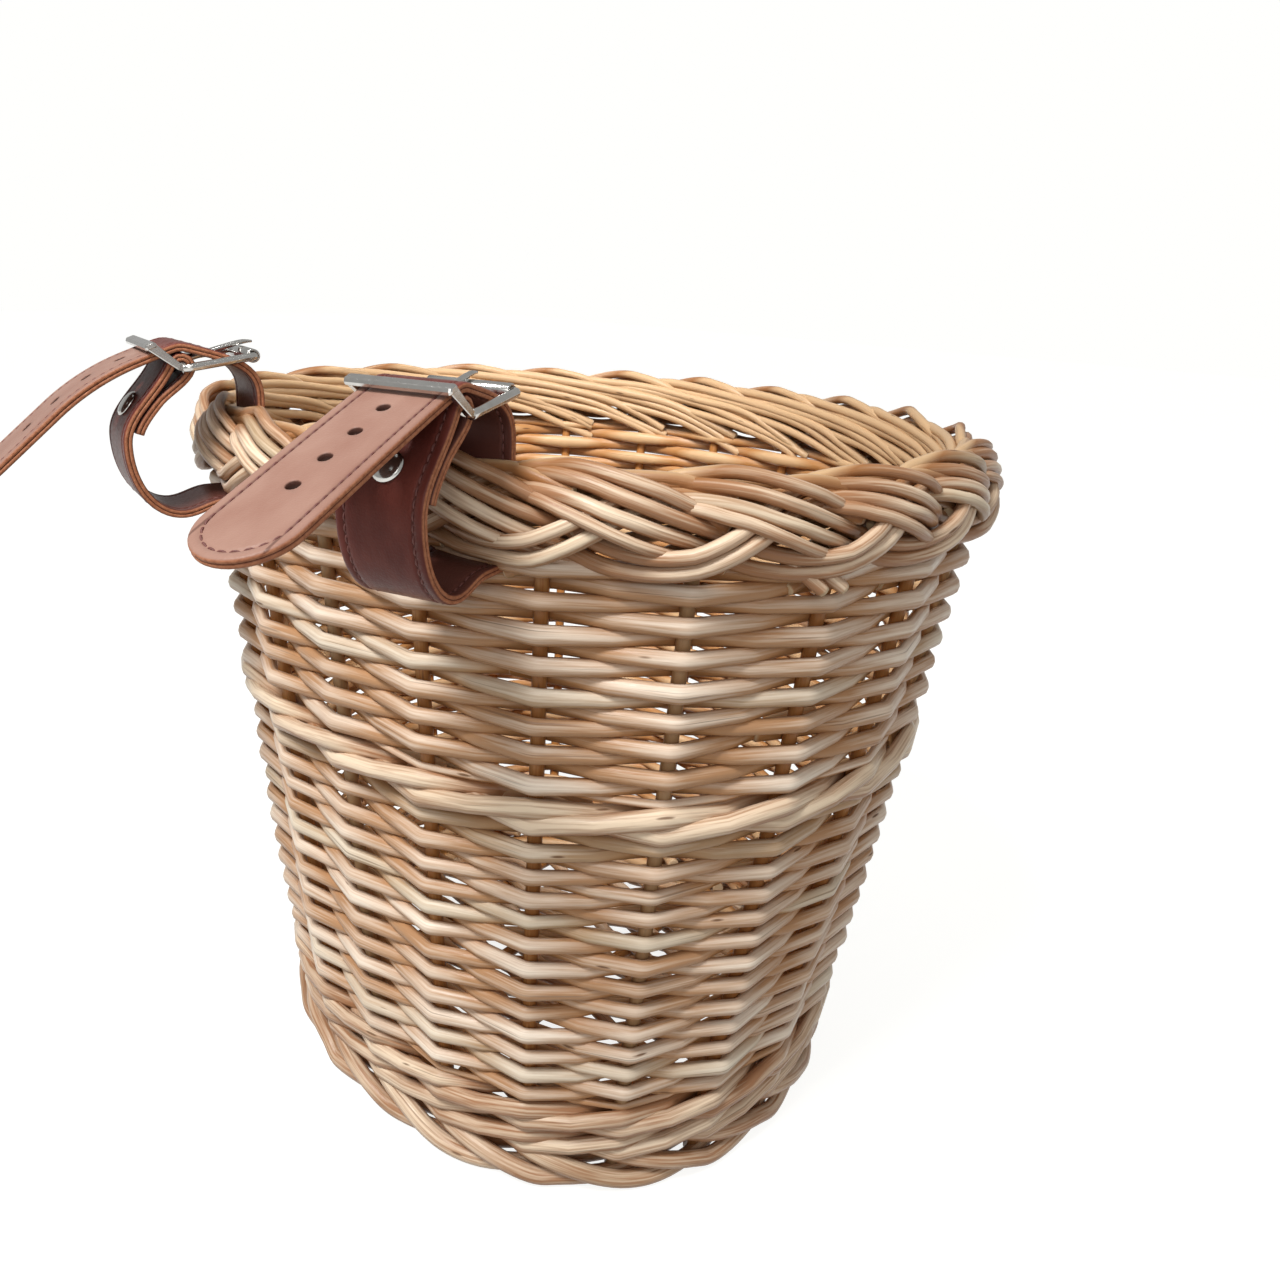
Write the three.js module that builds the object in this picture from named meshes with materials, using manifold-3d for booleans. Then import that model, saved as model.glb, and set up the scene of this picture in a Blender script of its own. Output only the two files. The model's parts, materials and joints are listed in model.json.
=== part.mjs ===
// Wicker bicycle basket with two buckled leather straps on its back rim.
// Millimetres. Z points up, X runs along the handlebar, and -Y faces the handlebar.
import * as THREE from 'three';
import { mergeVertices } from 'three/addons/utils/BufferGeometryUtils.js';
import Module from 'manifold-3d';

const wasm = await Module();
wasm.setup();

// Wall: the closed line on which the stakes stand, at the ground and under the border
const WALL_HEIGHT = 250;
const TOP_HALF_WIDTH = 157;
const TOP_HALF_DEPTH = 133;
const BASE_HALF_WIDTH = 120;
const BASE_HALF_DEPTH = 106;
const FRONT_SQUARENESS = 2.1;
const BACK_SQUARENESS = 2.3;

// Willow rods. The border has one repeat for every three stakes, and an odd number of
// repeats makes the stake count odd, so that one spiralling weaver alternates by itself
const BORDER_REPEATS = 7;
const STAKES_PER_REPEAT = 3;
const STAKE_DIAMETER = 5.2;
const WEAVER_DIAMETER = 5;
const WALE_DIAMETER = 5.6;
const FOOT_DIAMETER = 6.4;
const ROD_GAP = 0.4;
const UPSETT_ROUNDS = 2;
const MID_WALE_LEVEL = 159;
const LOWER_WEAVERS = 4;
const UPPER_WEAVERS = 3;

// Border: a flat plait of three strands, each a pair of rods side by side
const BORDER_ROD_DIAMETER = 5.8;
const BORDER_OUTSET = 6;
const PLAIT_SWING = 10.6;
const PLAIT_DEPTH = 5.8;
const PLAIT_STEPS = 9;

// Base: a hoop that the basket stands on, and a mat of sticks and weavers inside it
const HOOP_WIDTH = 8;
const HOOP_HEIGHT = 12;
const BASE_STICK_DIAMETER = 6;
const BASE_WEAVER_DIAMETER = 6;
const BASE_STICKS = 4;
const BASE_WEAVERS = 2;
const GROUND_GAP = 0.4;

// Straps: one behind each bay that lies STRAP_BAY stakes from the middle of the back
const STRAP_BAY = 1.41;
const STRAP_WIDTH = 28;
const STRAP_THICKNESS = 3;
const STRAP_GAP = 0.5;
const LOOP_REACH = 39.5;
const LOOP_DROP = 3.4;
const LEG_MIDDLE = 20;
const CENTRE_BAR_REACH = 21;
const CENTRE_BAR_RISE = 13;
const TAIL_SLOPE = 23;
const TAIL_LENGTH = 80;
const TAIL_STRAIGHT = 12;
const TAIL_BEND = 30;
const RUN_CORNER = 4.2;
const RUN_RISE = 2;
const EYE_WALL = 1.3;
const TAIL_HOLES = 4;
const TAIL_HOLE_PITCH = 12.2;
const FIRST_HOLE = 15;
const HOLE_RADIUS = 1.7;
const RIVET_HEAD_RADIUS = 5;
const RIVET_POST_RADIUS = 1.6;
const RIVET_HEAD_HEIGHT = 2;
const RIVET_BACK_HEIGHT = 1.2;

// Buckles: a frame with front, centre and back bars, a tongue and a roller
const CENTRE_BAR_RADIUS = 1.4;
const BACK_BAR_RADIUS = 1.3;
const ROLLER_RADIUS = 2.5;
const ROLLER_WALL = 0.8;
const RAIL_THICKNESS = 3.2;
const RAIL_WIDTH = 2.6;
const RAIL_CLEARANCE = 0.6;
const FRONT_BAR_LENGTH = 7;
const FRONT_BAR_HEIGHT = 2.6;
const BUCKLE_CLEARANCE = 1;
const TONGUE_THICKNESS = 2.2;
const TONGUE_WIDTH = 2.8;
const TONGUE_OVERHANG = 6;
const TONGUE_HOOK = 14;
const BUCKLE_TILT = 2;
const TONGUE_OPENING = 8;
const TONGUE_SLOT_REACH = 22;
const FRONT_BAR_PLACE = 6.5;
const RUNNING_GAP = 0.3;

const STRAPS = [
  { side: 'left', bay: -STRAP_BAY, droop: 21 },
  { side: 'right', bay: STRAP_BAY, droop: 1 },
];

const STAKE_COUNT = BORDER_REPEATS * STAKES_PER_REPEAT;
const BUTT_PLACE = 0.15;
const OUTLINE_SAMPLES = 1440;
const STAKE_RADIUS = STAKE_DIAMETER / 2;
const RIBBON_HALF = STRAP_THICKNESS / 2;

// Slot under the border that the straps pass through
const SLOT_HEIGHT = STRAP_THICKNESS + 2 * STRAP_GAP;
const BORDER_HALF_HEIGHT = PLAIT_SWING + BORDER_ROD_DIAMETER + ROD_GAP / 2;
const BORDER_CENTRE_Z = WALL_HEIGHT + BORDER_HALF_HEIGHT;
const BORDER_TOP_Z = WALL_HEIGHT + 2 * BORDER_HALF_HEIGHT;
const BORDER_INNER = BORDER_OUTSET - PLAIT_DEPTH - BORDER_ROD_DIAMETER / 2;

// Plan of the wall

function outline(halfWidth, halfDepth) {
  const points = [];
  const lengths = [0];
  for (let i = 0; i <= OUTLINE_SAMPLES; i += 1) {
    const angle = (2 * Math.PI * i) / OUTLINE_SAMPLES - Math.PI / 2;
    const c = Math.cos(angle);
    const s = Math.sin(angle);
    const power = s < 0 ? BACK_SQUARENESS : FRONT_SQUARENESS;
    const radius = (Math.abs(c) ** power + Math.abs(s) ** power) ** (-1 / power);
    points.push(new THREE.Vector2(halfWidth * radius * c, halfDepth * radius * s));
    if (i > 0) {
      lengths.push(lengths[i - 1] + points[i].distanceTo(points[i - 1]));
    }
  }
  return { points, lengths, length: lengths[OUTLINE_SAMPLES] };
}

const topOutline = outline(TOP_HALF_WIDTH, TOP_HALF_DEPTH);
const baseOutline = outline(BASE_HALF_WIDTH, BASE_HALF_DEPTH);
const stakePitch = topOutline.length / STAKE_COUNT;
const plaitRepeat = STAKES_PER_REPEAT * stakePitch;
const plaitRate = (2 * Math.PI * PLAIT_SWING) / plaitRepeat;

// Point at a share of the way round, counted from the middle of the back towards +X
function along(plan, turn) {
  const target = (turn - Math.floor(turn)) * plan.length;
  let low = 0;
  let high = OUTLINE_SAMPLES;
  while (high - low > 1) {
    const middle = (low + high) >> 1;
    if (plan.lengths[middle] <= target) {
      low = middle;
    } else {
      high = middle;
    }
  }
  const share = (target - plan.lengths[low]) / (plan.lengths[high] - plan.lengths[low]);
  return plan.points[low].clone().lerp(plan.points[high], share);
}

function outward(plan, turn) {
  const step = 2 / OUTLINE_SAMPLES;
  const tangent = along(plan, turn + step).sub(along(plan, turn - step)).normalize();
  return new THREE.Vector2(tangent.y, -tangent.x);
}

// Station on the wall: a centre, an outward axis and an upward axis
function wallStation(turn, z, outset) {
  const share = z / WALL_HEIGHT;
  const point = along(baseOutline, turn).lerp(along(topOutline, turn), share);
  const normal = outward(baseOutline, turn).lerp(outward(topOutline, turn), share).normalize();
  point.addScaledVector(normal, outset);
  return {
    centre: new THREE.Vector3(point.x, point.y, z),
    across: new THREE.Vector3(normal.x, normal.y, 0),
    up: new THREE.Vector3(0, 0, 1),
  };
}

// Sections, as points across and up from a rod's centre

function polygonSection(radius, sides) {
  const section = [];
  for (let i = 0; i < sides; i += 1) {
    const angle = (2 * Math.PI * i) / sides;
    section.push([radius * Math.cos(angle), radius * Math.sin(angle)]);
  }
  return section;
}

function indexedGeometry(positions, indices) {
  const geometry = new THREE.BufferGeometry();
  geometry.setAttribute('position', new THREE.Float32BufferAttribute(positions, 3));
  geometry.setIndex(indices);
  let volume = 0;
  const [a, b, c] = [new THREE.Vector3(), new THREE.Vector3(), new THREE.Vector3()];
  for (let i = 0; i < indices.length; i += 3) {
    a.fromArray(positions, 3 * indices[i]);
    b.fromArray(positions, 3 * indices[i + 1]);
    c.fromArray(positions, 3 * indices[i + 2]);
    volume += a.dot(b.cross(c));
  }
  if (volume < 0) {
    geometry.setIndex([...indices].reverse());
  }
  geometry.computeVertexNormals();
  return geometry;
}

// Body swept through stations: a closed ring, or a rod with two flat ends
function sweep(stations, section, closed) {
  const positions = [];
  const indices = [];
  const sides = section.length;
  for (const station of stations) {
    for (const [a, b] of section) {
      const point = station.centre.clone();
      point.addScaledVector(station.across, a);
      point.addScaledVector(station.up, b);
      positions.push(point.x, point.y, point.z);
    }
  }
  const rings = stations.length;
  const spans = closed ? rings : rings - 1;
  for (let i = 0; i < spans; i += 1) {
    const here = i * sides;
    const next = ((i + 1) % rings) * sides;
    for (let j = 0; j < sides; j += 1) {
      const k = (j + 1) % sides;
      indices.push(here + j, next + j, next + k);
      indices.push(here + j, next + k, here + k);
    }
  }
  if (!closed) {
    const last = (rings - 1) * sides;
    for (let j = 1; j < sides - 1; j += 1) {
      indices.push(0, j, j + 1);
      indices.push(last, last + j + 1, last + j);
    }
  }
  return indexedGeometry(positions, indices);
}

// Nodes of the part

const part = new THREE.Group();
const willow = { color: 0xd9b98a, roughness: 0.55, metalness: 0 };
const willowShade = { color: 0xb98f5e, roughness: 0.6, metalness: 0 };
const leather = { color: 0x6b3a33, roughness: 0.5, metalness: 0 };
const nickel = { color: 0xc9c7c2, roughness: 0.2, metalness: 1 };

function addMesh(parent, name, geometry, look) {
  const mesh = new THREE.Mesh(geometry, new THREE.MeshStandardMaterial(look));
  mesh.name = name;
  parent.add(mesh);
}

// Stakes: straight up the wall and through the slot. A falling strand of the border crosses
// each stake at the seat's phase of the plait, and rests on its end
const SEAT_PHASE = (2 * Math.PI) / 3;
const seatOutset = BORDER_OUTSET + PLAIT_DEPTH * Math.sin(2 * SEAT_PHASE);
const seatFall = STAKE_RADIUS * plaitRate * Math.sin(SEAT_PHASE);
const strandZ = BORDER_CENTRE_Z + PLAIT_SWING * Math.cos(SEAT_PHASE);
const seatZ = strandZ - BORDER_ROD_DIAMETER - ROD_GAP - seatFall;

function stakeGeometry(stake) {
  const turn = stake / STAKE_COUNT;
  const foot = wallStation(turn, GROUND_GAP, 0);
  const slotFloor = wallStation(turn, WALL_HEIGHT - SLOT_HEIGHT, 0);
  const end = wallStation(turn, WALL_HEIGHT, seatOutset);
  end.centre.z = seatZ;
  const stations = [foot, slotFloor, end].map(({ centre, across }) => {
    const side = new THREE.Vector3(-across.y, across.x, 0);
    return { centre, across, up: side };
  });
  return sweep(stations, polygonSection(STAKE_RADIUS, 6), false);
}

for (let stake = 0; stake < STAKE_COUNT; stake += 1) {
  const name = `stake_${String(stake + 1).padStart(2, '0')}`;
  addMesh(part, name, stakeGeometry(stake), willowShade);
}

// Three-rod wale: each rod passes outside two stakes and inside the next. Its rods climb
// along the rim's direction, or fall where climb is -1. A wale of one round closes on
// itself. In a longer one each rod steps up to the next round behind a stake

function waleOffset(diameter) {
  return STAKE_RADIUS + diameter / 2 + ROD_GAP;
}

function waleHeight(diameter) {
  return 2 * (diameter + ROD_GAP);
}

function waleRod(rod, middleZ, diameter, climb, rounds) {
  const lift = climb * (diameter / 2 + ROD_GAP);
  const offset = waleOffset(diameter);
  const roundHeight = waleHeight(diameter) + ROD_GAP;
  const route = [
    { place: 0, outset: -offset, rise: 0 },
    { place: 0.5, outset: 0, rise: -lift },
    { place: 1, outset: offset + ROD_GAP, rise: -lift },
    { place: 2, outset: offset + ROD_GAP, rise: lift },
    { place: 2.5, outset: 0, rise: lift },
  ];
  const stations = [];
  const closed = rounds === 1;
  for (let stake = 0; stake < rounds * STAKE_COUNT; stake += 3) {
    const round = Math.floor(stake / STAKE_COUNT);
    for (const { place, outset, rise } of route) {
      const stepping = place === 0 && stake > 0 && stake % STAKE_COUNT === 0;
      const level = stepping ? round - 0.5 : round;
      const butt = !closed && stake + place === 0 ? BUTT_PLACE : 0;
      const turn = (stake + place + butt + rod) / STAKE_COUNT;
      stations.push(wallStation(turn, middleZ + level * roundHeight + rise, outset));
    }
  }
  if (!closed) {
    const turn = (rounds * STAKE_COUNT - BUTT_PLACE + rod) / STAKE_COUNT;
    stations.push(wallStation(turn, middleZ + (rounds - 1) * roundHeight, -offset));
  }
  return sweep(stations, polygonSection(diameter / 2, 4), closed);
}

function addWale(name, bottomZ, diameter, climb, rounds) {
  const middleZ = bottomZ + waleHeight(diameter) / 2;
  for (let rod = 0; rod < 3; rod += 1) {
    addMesh(part, `${name}_${rod + 1}`, waleRod(rod, middleZ, diameter, climb, rounds), willow);
  }
  return bottomZ + rounds * (waleHeight(diameter) + ROD_GAP) - ROD_GAP;
}

const footTop = addWale('foot_rod', GROUND_GAP, FOOT_DIAMETER, -1, 1);
const upsettTop = addWale('upsett_rod', footTop + ROD_GAP, WALE_DIAMETER, 1, UPSETT_ROUNDS);
const midWaleBottom = MID_WALE_LEVEL;
const midWaleTop = addWale('mid_wale_rod', midWaleBottom, WALE_DIAMETER, 1, 1);

// Randing: weavers that spiral up the wall, outside one stake and inside the next

function addRanding(name, bottomZ, topZ, weavers) {
  const room = topZ - bottomZ - 2 * ROD_GAP;
  const rows = Math.floor((room + ROD_GAP) / (WEAVER_DIAMETER + ROD_GAP)) - 1;
  const pitch = (room - WEAVER_DIAMETER) / rows;
  const startZ = bottomZ + ROD_GAP + WEAVER_DIAMETER / 2;
  const offset = STAKE_RADIUS + WEAVER_DIAMETER / 2 + ROD_GAP;
  const crossings = rows * STAKE_COUNT;
  const section = polygonSection(WEAVER_DIAMETER / 2, 4);
  const buttGap = ROD_GAP / stakePitch;

  function crossing(position) {
    const below = Math.floor(position);
    const place = (index) => {
      const row = Math.floor(index / STAKE_COUNT);
      const side = (index % STAKE_COUNT + row) % 2 === 0 ? -offset : offset;
      return side;
    };
    const outset = THREE.MathUtils.lerp(place(below), place(below + 1), position - below);
    const turn = position / STAKE_COUNT;
    return wallStation(turn, startZ + pitch * turn, outset);
  }

  let start = 0;
  for (let weaver = 0; weaver < weavers; weaver += 1) {
    let end = Math.round((crossings * (weaver + 1)) / weavers);
    end -= (end % STAKE_COUNT + Math.floor(end / STAKE_COUNT)) % 2;
    const stations = [crossing(start + buttGap)];
    for (let index = start + 1; index < end; index += 1) {
      stations.push(crossing(index));
    }
    stations.push(crossing(end - buttGap));
    addMesh(part, `${name}_${weaver + 1}`, sweep(stations, section, false), willow);
    start = end;
  }
}

addRanding('lower_weaver', upsettTop, midWaleBottom, LOWER_WEAVERS);
addRanding('upper_weaver', midWaleTop, WALL_HEIGHT - SLOT_HEIGHT, UPPER_WEAVERS);

// Plaited border: three strands of paired rods, each strand down once in three stakes.
// Falling, a strand passes outside the strand that it meets above the middle and inside
// the one below. Rising, it passes the other way round

function borderRod(strand, half) {
  const steps = BORDER_REPEATS * PLAIT_STEPS;
  const pairOffset = (half * (BORDER_ROD_DIAMETER + ROD_GAP)) / 2;
  const stations = [];
  for (let step = 0; step < steps; step += 1) {
    const phase = (2 * Math.PI * step) / PLAIT_STEPS;
    const rise = PLAIT_SWING * Math.cos(phase);
    const angle = Math.atan(-plaitRate * Math.sin(phase));
    const shift = strand * stakePitch - pairOffset * Math.sin(angle);
    const distance = (step / PLAIT_STEPS) * plaitRepeat + shift;
    const z = BORDER_CENTRE_Z + rise + pairOffset * Math.cos(angle);
    const outset = BORDER_OUTSET + PLAIT_DEPTH * Math.sin(2 * phase);
    const station = wallStation(distance / topOutline.length, WALL_HEIGHT, outset);
    station.centre.z = z;
    stations.push(station);
  }
  return sweep(stations, polygonSection(BORDER_ROD_DIAMETER / 2, 4), true);
}

for (let strand = 0; strand < 3; strand += 1) {
  for (const half of [-1, 1]) {
    const name = `border_rod_${2 * strand + (half + 3) / 2}`;
    addMesh(part, name, borderRod(strand, half), willow);
  }
}

// Base: the hoop stands inside the foot's rods, and the mat fills the hoop

const footMiddle = GROUND_GAP + waleHeight(FOOT_DIAMETER) / 2;
const hoopInset = waleOffset(FOOT_DIAMETER) + FOOT_DIAMETER / 2 + ROD_GAP;
const hoopInnerInset = hoopInset + HOOP_WIDTH;

function hoopGeometry() {
  const shoulder = HOOP_WIDTH / 4;
  const section = [
    [-HOOP_WIDTH, 0],
    [0, 0],
    [0, HOOP_HEIGHT - shoulder],
    [-shoulder, HOOP_HEIGHT],
    [-HOOP_WIDTH, HOOP_HEIGHT],
  ];
  const stations = [];
  for (let i = 0; i < 2 * STAKE_COUNT; i += 1) {
    const station = wallStation(i / (2 * STAKE_COUNT), footMiddle, -hoopInset);
    station.centre.z = 0;
    stations.push(station);
  }
  return sweep(stations, section, true);
}

addMesh(part, 'base_hoop', hoopGeometry(), willowShade);

// Lowest and highest place on the mat's edge along one axis, at a distance on the other
function matSpan(axis, distance, margin) {
  const other = axis === 'x' ? 'y' : 'x';
  const span = [0, 0];
  let last = wallStation(0, footMiddle, -hoopInnerInset - margin).centre;
  for (let i = 1; i <= OUTLINE_SAMPLES / 4; i += 1) {
    const turn = (4 * i) / OUTLINE_SAMPLES;
    const next = wallStation(turn, footMiddle, -hoopInnerInset - margin).centre;
    if ((last[other] - distance) * (next[other] - distance) <= 0) {
      const share = (distance - last[other]) / (next[other] - last[other]);
      const place = THREE.MathUtils.lerp(last[axis], next[axis], share);
      span[place < 0 ? 0 : 1] = place;
    }
    last = next;
  }
  return span;
}

const baseStickRadius = BASE_STICK_DIAMETER / 2;
const baseWeaverRadius = BASE_WEAVER_DIAMETER / 2;
const matLift = baseStickRadius + baseWeaverRadius + ROD_GAP;
const matZ = GROUND_GAP + baseWeaverRadius + matLift;
const matWidth = matSpan('x', 0, 0);
const stickPitch = (matWidth[1] - matWidth[0]) / (BASE_STICKS + 1);
const stickPlaces = Array.from({ length: BASE_STICKS }, (_, i) => matWidth[0] + (i + 1) * stickPitch);

function addBaseSticks() {
  stickPlaces.forEach((x, i) => {
    const spans = [-1, 0, 1].map((side) => matSpan('y', x + side * baseStickRadius, 2 * ROD_GAP));
    const ends = [Math.max(...spans.map((s) => s[0])), Math.min(...spans.map((s) => s[1]))];
    const stations = ends.map((y) => ({
      centre: new THREE.Vector3(x, y, matZ),
      across: new THREE.Vector3(1, 0, 0),
      up: new THREE.Vector3(0, 0, 1),
    }));
    const geometry = sweep(stations, polygonSection(baseStickRadius, 6), false);
    addMesh(part, `base_stick_${i + 1}`, geometry, willowShade);
  });
}

// One weaver goes back and forth over and under the sticks, and turns back on itself
function addBaseWeavers() {
  const depth = matSpan('y', 0, baseWeaverRadius + ROD_GAP);
  const edge = 2 * BASE_WEAVER_DIAMETER;
  const room = depth[1] - depth[0] - 2 * edge;
  const rows = Math.floor(room / (BASE_WEAVER_DIAMETER + ROD_GAP));
  const pitch = room / rows;
  const section = polygonSection(baseWeaverRadius, 4);
  const clearAfter = baseStickRadius + baseWeaverRadius + 2 * ROD_GAP;
  const clearBefore = clearAfter + pitch / 2;
  const riseLength = 3 * BASE_STICK_DIAMETER;

  function rowEnd(row, direction) {
    const margin = baseWeaverRadius + ROD_GAP + pitch / 2;
    const span = matSpan('x', depth[0] + edge + row * pitch, margin);
    let end = direction > 0 ? span[1] : span[0];
    for (const x of stickPlaces) {
      const past = (end - x) * direction;
      if (past > -clearBefore && past < clearAfter) {
        end = x - direction * clearBefore;
      }
    }
    return end;
  }

  // A row that ends close behind a stick is still on its way back to the mat's middle
  function endLift(end, row, direction) {
    let lift = 0;
    stickPlaces.forEach((x, i) => {
      const past = (end - x) * direction;
      if (past > 0 && past < riseLength) {
        const over = (i + row) % 2 === 0 ? 1 : -1;
        lift = over * matLift * (1 - past / riseLength);
      }
    });
    return lift;
  }

  function stationAt(x, y, lift, way) {
    return {
      centre: new THREE.Vector3(x, y, matZ + lift),
      across: new THREE.Vector3(way.y, -way.x, 0),
      up: new THREE.Vector3(0, 0, 1),
    };
  }

  let first = 0;
  for (let weaver = 0; weaver < BASE_WEAVERS; weaver += 1) {
    const last = Math.round((rows * (weaver + 1)) / BASE_WEAVERS);
    const stations = [];
    for (let row = first; row < last; row += 1) {
      const direction = row % 2 === 0 ? 1 : -1;
      const y = depth[0] + edge + row * pitch;
      const way = new THREE.Vector2(direction, 0);
      const startMate = row > first ? row - 1 : row;
      const endMate = row + 1 < last ? row + 1 : row;
      const inner = (a, b) => (Math.abs(a) < Math.abs(b) ? a : b);
      const startX = inner(rowEnd(row, -direction), rowEnd(startMate, -direction));
      const endX = inner(rowEnd(row, direction), rowEnd(endMate, direction));
      stations.push(stationAt(startX, y, endLift(startX, row, -direction), way));
      const order = direction > 0 ? stickPlaces : [...stickPlaces].reverse();
      for (const x of order) {
        if ((x - startX) * direction > 0 && (endX - x) * direction > 0) {
          const over = (stickPlaces.indexOf(x) + row) % 2 === 0 ? 1 : -1;
          stations.push(stationAt(x, y, over * matLift, way));
        }
      }
      stations.push(stationAt(endX, y, endLift(endX, row, direction), way));
      if (row + 1 < last) {
        const turnX = endX + (direction * pitch) / 2;
        stations.push(stationAt(turnX, y + pitch / 2, 0, new THREE.Vector2(0, 1)));
      }
    }
    addMesh(part, `base_weaver_${weaver + 1}`, sweep(stations, section, false), willow);
    first = last;
  }
}

addBaseSticks();
addBaseWeavers();

// Straps and buckles. Each is drawn in its own plane: x points away from the wall's line
// at the strap's bay, y runs along the rim, and z is the height above the ground

function solidOf(geometry) {
  const bare = geometry.index ? geometry.clone() : geometry;
  bare.deleteAttribute('normal');
  bare.deleteAttribute('uv');
  const merged = mergeVertices(bare, 1e-4);
  const vertProperties = new Float32Array(merged.attributes.position.array);
  const triVerts = new Uint32Array(merged.index.array);
  return new wasm.Manifold(new wasm.Mesh({ numProp: 3, vertProperties, triVerts }));
}

function geometryOf(solid) {
  const mesh = solid.getMesh();
  const geometry = new THREE.BufferGeometry();
  geometry.setAttribute('position', new THREE.BufferAttribute(mesh.vertProperties, 3));
  geometry.setIndex(new THREE.BufferAttribute(mesh.triVerts, 1));
  geometry.computeVertexNormals();
  return geometry;
}

// Flat outline in the strap's plane, given a width along the rim
function plate(points, width) {
  const shape = new THREE.Shape(points);
  const geometry = new THREE.ExtrudeGeometry(shape, { depth: width, bevelEnabled: false });
  geometry.rotateX(Math.PI / 2);
  geometry.translate(0, width / 2, 0);
  return geometry;
}

// Outline of a band of even thickness along a line of points
function bandOutline(line, thickness) {
  const left = [];
  const right = [];
  line.forEach((point, i) => {
    const before = line[Math.max(i - 1, 0)];
    const after = line[Math.min(i + 1, line.length - 1)];
    const into = point.clone().sub(before).normalize();
    const out = after.clone().sub(point).normalize();
    const tangent = into.clone().add(out).normalize();
    const normal = new THREE.Vector2(-tangent.y, tangent.x);
    const edge = i === 0 ? out : into;
    const mitre = thickness / 2 / Math.abs(tangent.dot(edge));
    left.push(point.clone().addScaledVector(normal, mitre));
    right.push(point.clone().addScaledVector(normal, -mitre));
  });
  return left.concat(right.reverse());
}

function bar(centre, radius, width, sides) {
  const geometry = new THREE.CylinderGeometry(radius, radius, width, sides);
  geometry.translate(centre.x, 0, centre.y);
  return geometry;
}

const heading = (degrees) => {
  const angle = THREE.MathUtils.degToRad(degrees);
  return new THREE.Vector2(Math.cos(angle), Math.sin(angle));
};

function bend(from, fromHeading, to, toHeading, pull) {
  const first = from.clone().addScaledVector(fromHeading, pull[0]);
  const second = to.clone().addScaledVector(toHeading, -pull[1]);
  return new THREE.CubicBezierCurve(from, first, second, to);
}

// Arc around a centre, clockwise from one angle to another
function clockwiseArc(centre, radius, from, to) {
  const start = THREE.MathUtils.degToRad(from);
  const end = THREE.MathUtils.degToRad(to);
  const curve = new THREE.EllipseCurve(centre.x, centre.y, radius, radius, start, end, true);
  return curve;
}

// Places along a strap that both straps share
const DOWN = heading(-90);
const UP = heading(90);
const IN = heading(180);
const LEG_START_ANGLE = 24;
const FOLD_START_ANGLE = 205;
const OVER_START_ANGLE = 105;
const LAYER_START = 0.85;
const LAYER_END = 0.42;
const RIVET_PLACE = 0.58;
const ROLLER_PLACE = 0.42;
const LEG_PULL = [12, 10];
const LOOP_PULL = [15, 9];
const SLOT_PULL = [5, 5];
const ARCH_PULL = [12, 14];

const slotZ = WALL_HEIGHT - SLOT_HEIGHT / 2;
const borderSagitta = STRAP_WIDTH ** 2 / 8 / TOP_HALF_DEPTH;
const innerX = BORDER_INNER - borderSagitta - RIBBON_HALF;
const centreBar = new THREE.Vector2(CENTRE_BAR_REACH, BORDER_TOP_Z + CENTRE_BAR_RISE);
const foldRadius = CENTRE_BAR_RADIUS + RUNNING_GAP + RIBBON_HALF;
const overRadius = foldRadius + STRAP_THICKNESS + RUNNING_GAP;
const onCircle = (radius, degrees) => centreBar.clone().addScaledVector(heading(degrees), radius);

const legTop = onCircle(foldRadius, LEG_START_ANGLE);
const legMiddle = new THREE.Vector2(LOOP_REACH, WALL_HEIGHT + LEG_MIDDLE);
const leg = bend(legTop, heading(LEG_START_ANGLE - 90), legMiddle, DOWN, LEG_PULL);
const loopBottom = new THREE.Vector2((LOOP_REACH + BORDER_OUTSET) / 2, slotZ - LOOP_DROP);
const slotOuter = new THREE.Vector2(BORDER_OUTSET + BORDER_ROD_DIAMETER / 2, slotZ);
const slotInner = new THREE.Vector2(innerX + RUN_CORNER, slotZ);
const runBottom = new THREE.Vector2(innerX, slotZ + RUN_CORNER);
const runTop = new THREE.Vector2(innerX, BORDER_TOP_Z + RUN_RISE);
const overStart = onCircle(overRadius, OVER_START_ANGLE);
const arch = bend(runTop, UP, overStart, heading(OVER_START_ANGLE - 90), ARCH_PULL);
const tailStart = onCircle(overRadius, 90 - TAIL_SLOPE);

function layerPoint(share) {
  const tangent = leg.getTangent(share);
  const inward = new THREE.Vector2(tangent.y, -tangent.x);
  return leg.getPoint(share).addScaledVector(inward, STRAP_THICKNESS + RUNNING_GAP);
}

function tailPath(droop) {
  const path = new THREE.CurvePath();
  const start = heading(-TAIL_SLOPE);
  const bendStart = tailStart.clone().addScaledVector(start, TAIL_STRAIGHT);
  path.add(new THREE.LineCurve(tailStart, bendStart));
  const radius = TAIL_BEND / THREE.MathUtils.degToRad(droop);
  const centre = bendStart.clone().addScaledVector(heading(-TAIL_SLOPE - 90), radius);
  path.add(clockwiseArc(centre, radius, 90 - TAIL_SLOPE, 90 - TAIL_SLOPE - droop));
  const bendEnd = centre.clone().addScaledVector(heading(90 - TAIL_SLOPE - droop), radius);
  const rest = TAIL_LENGTH - TAIL_STRAIGHT - TAIL_BEND;
  const end = bendEnd.clone().addScaledVector(heading(-TAIL_SLOPE - droop), rest);
  path.add(new THREE.LineCurve(bendEnd, end));
  return path;
}

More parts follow.
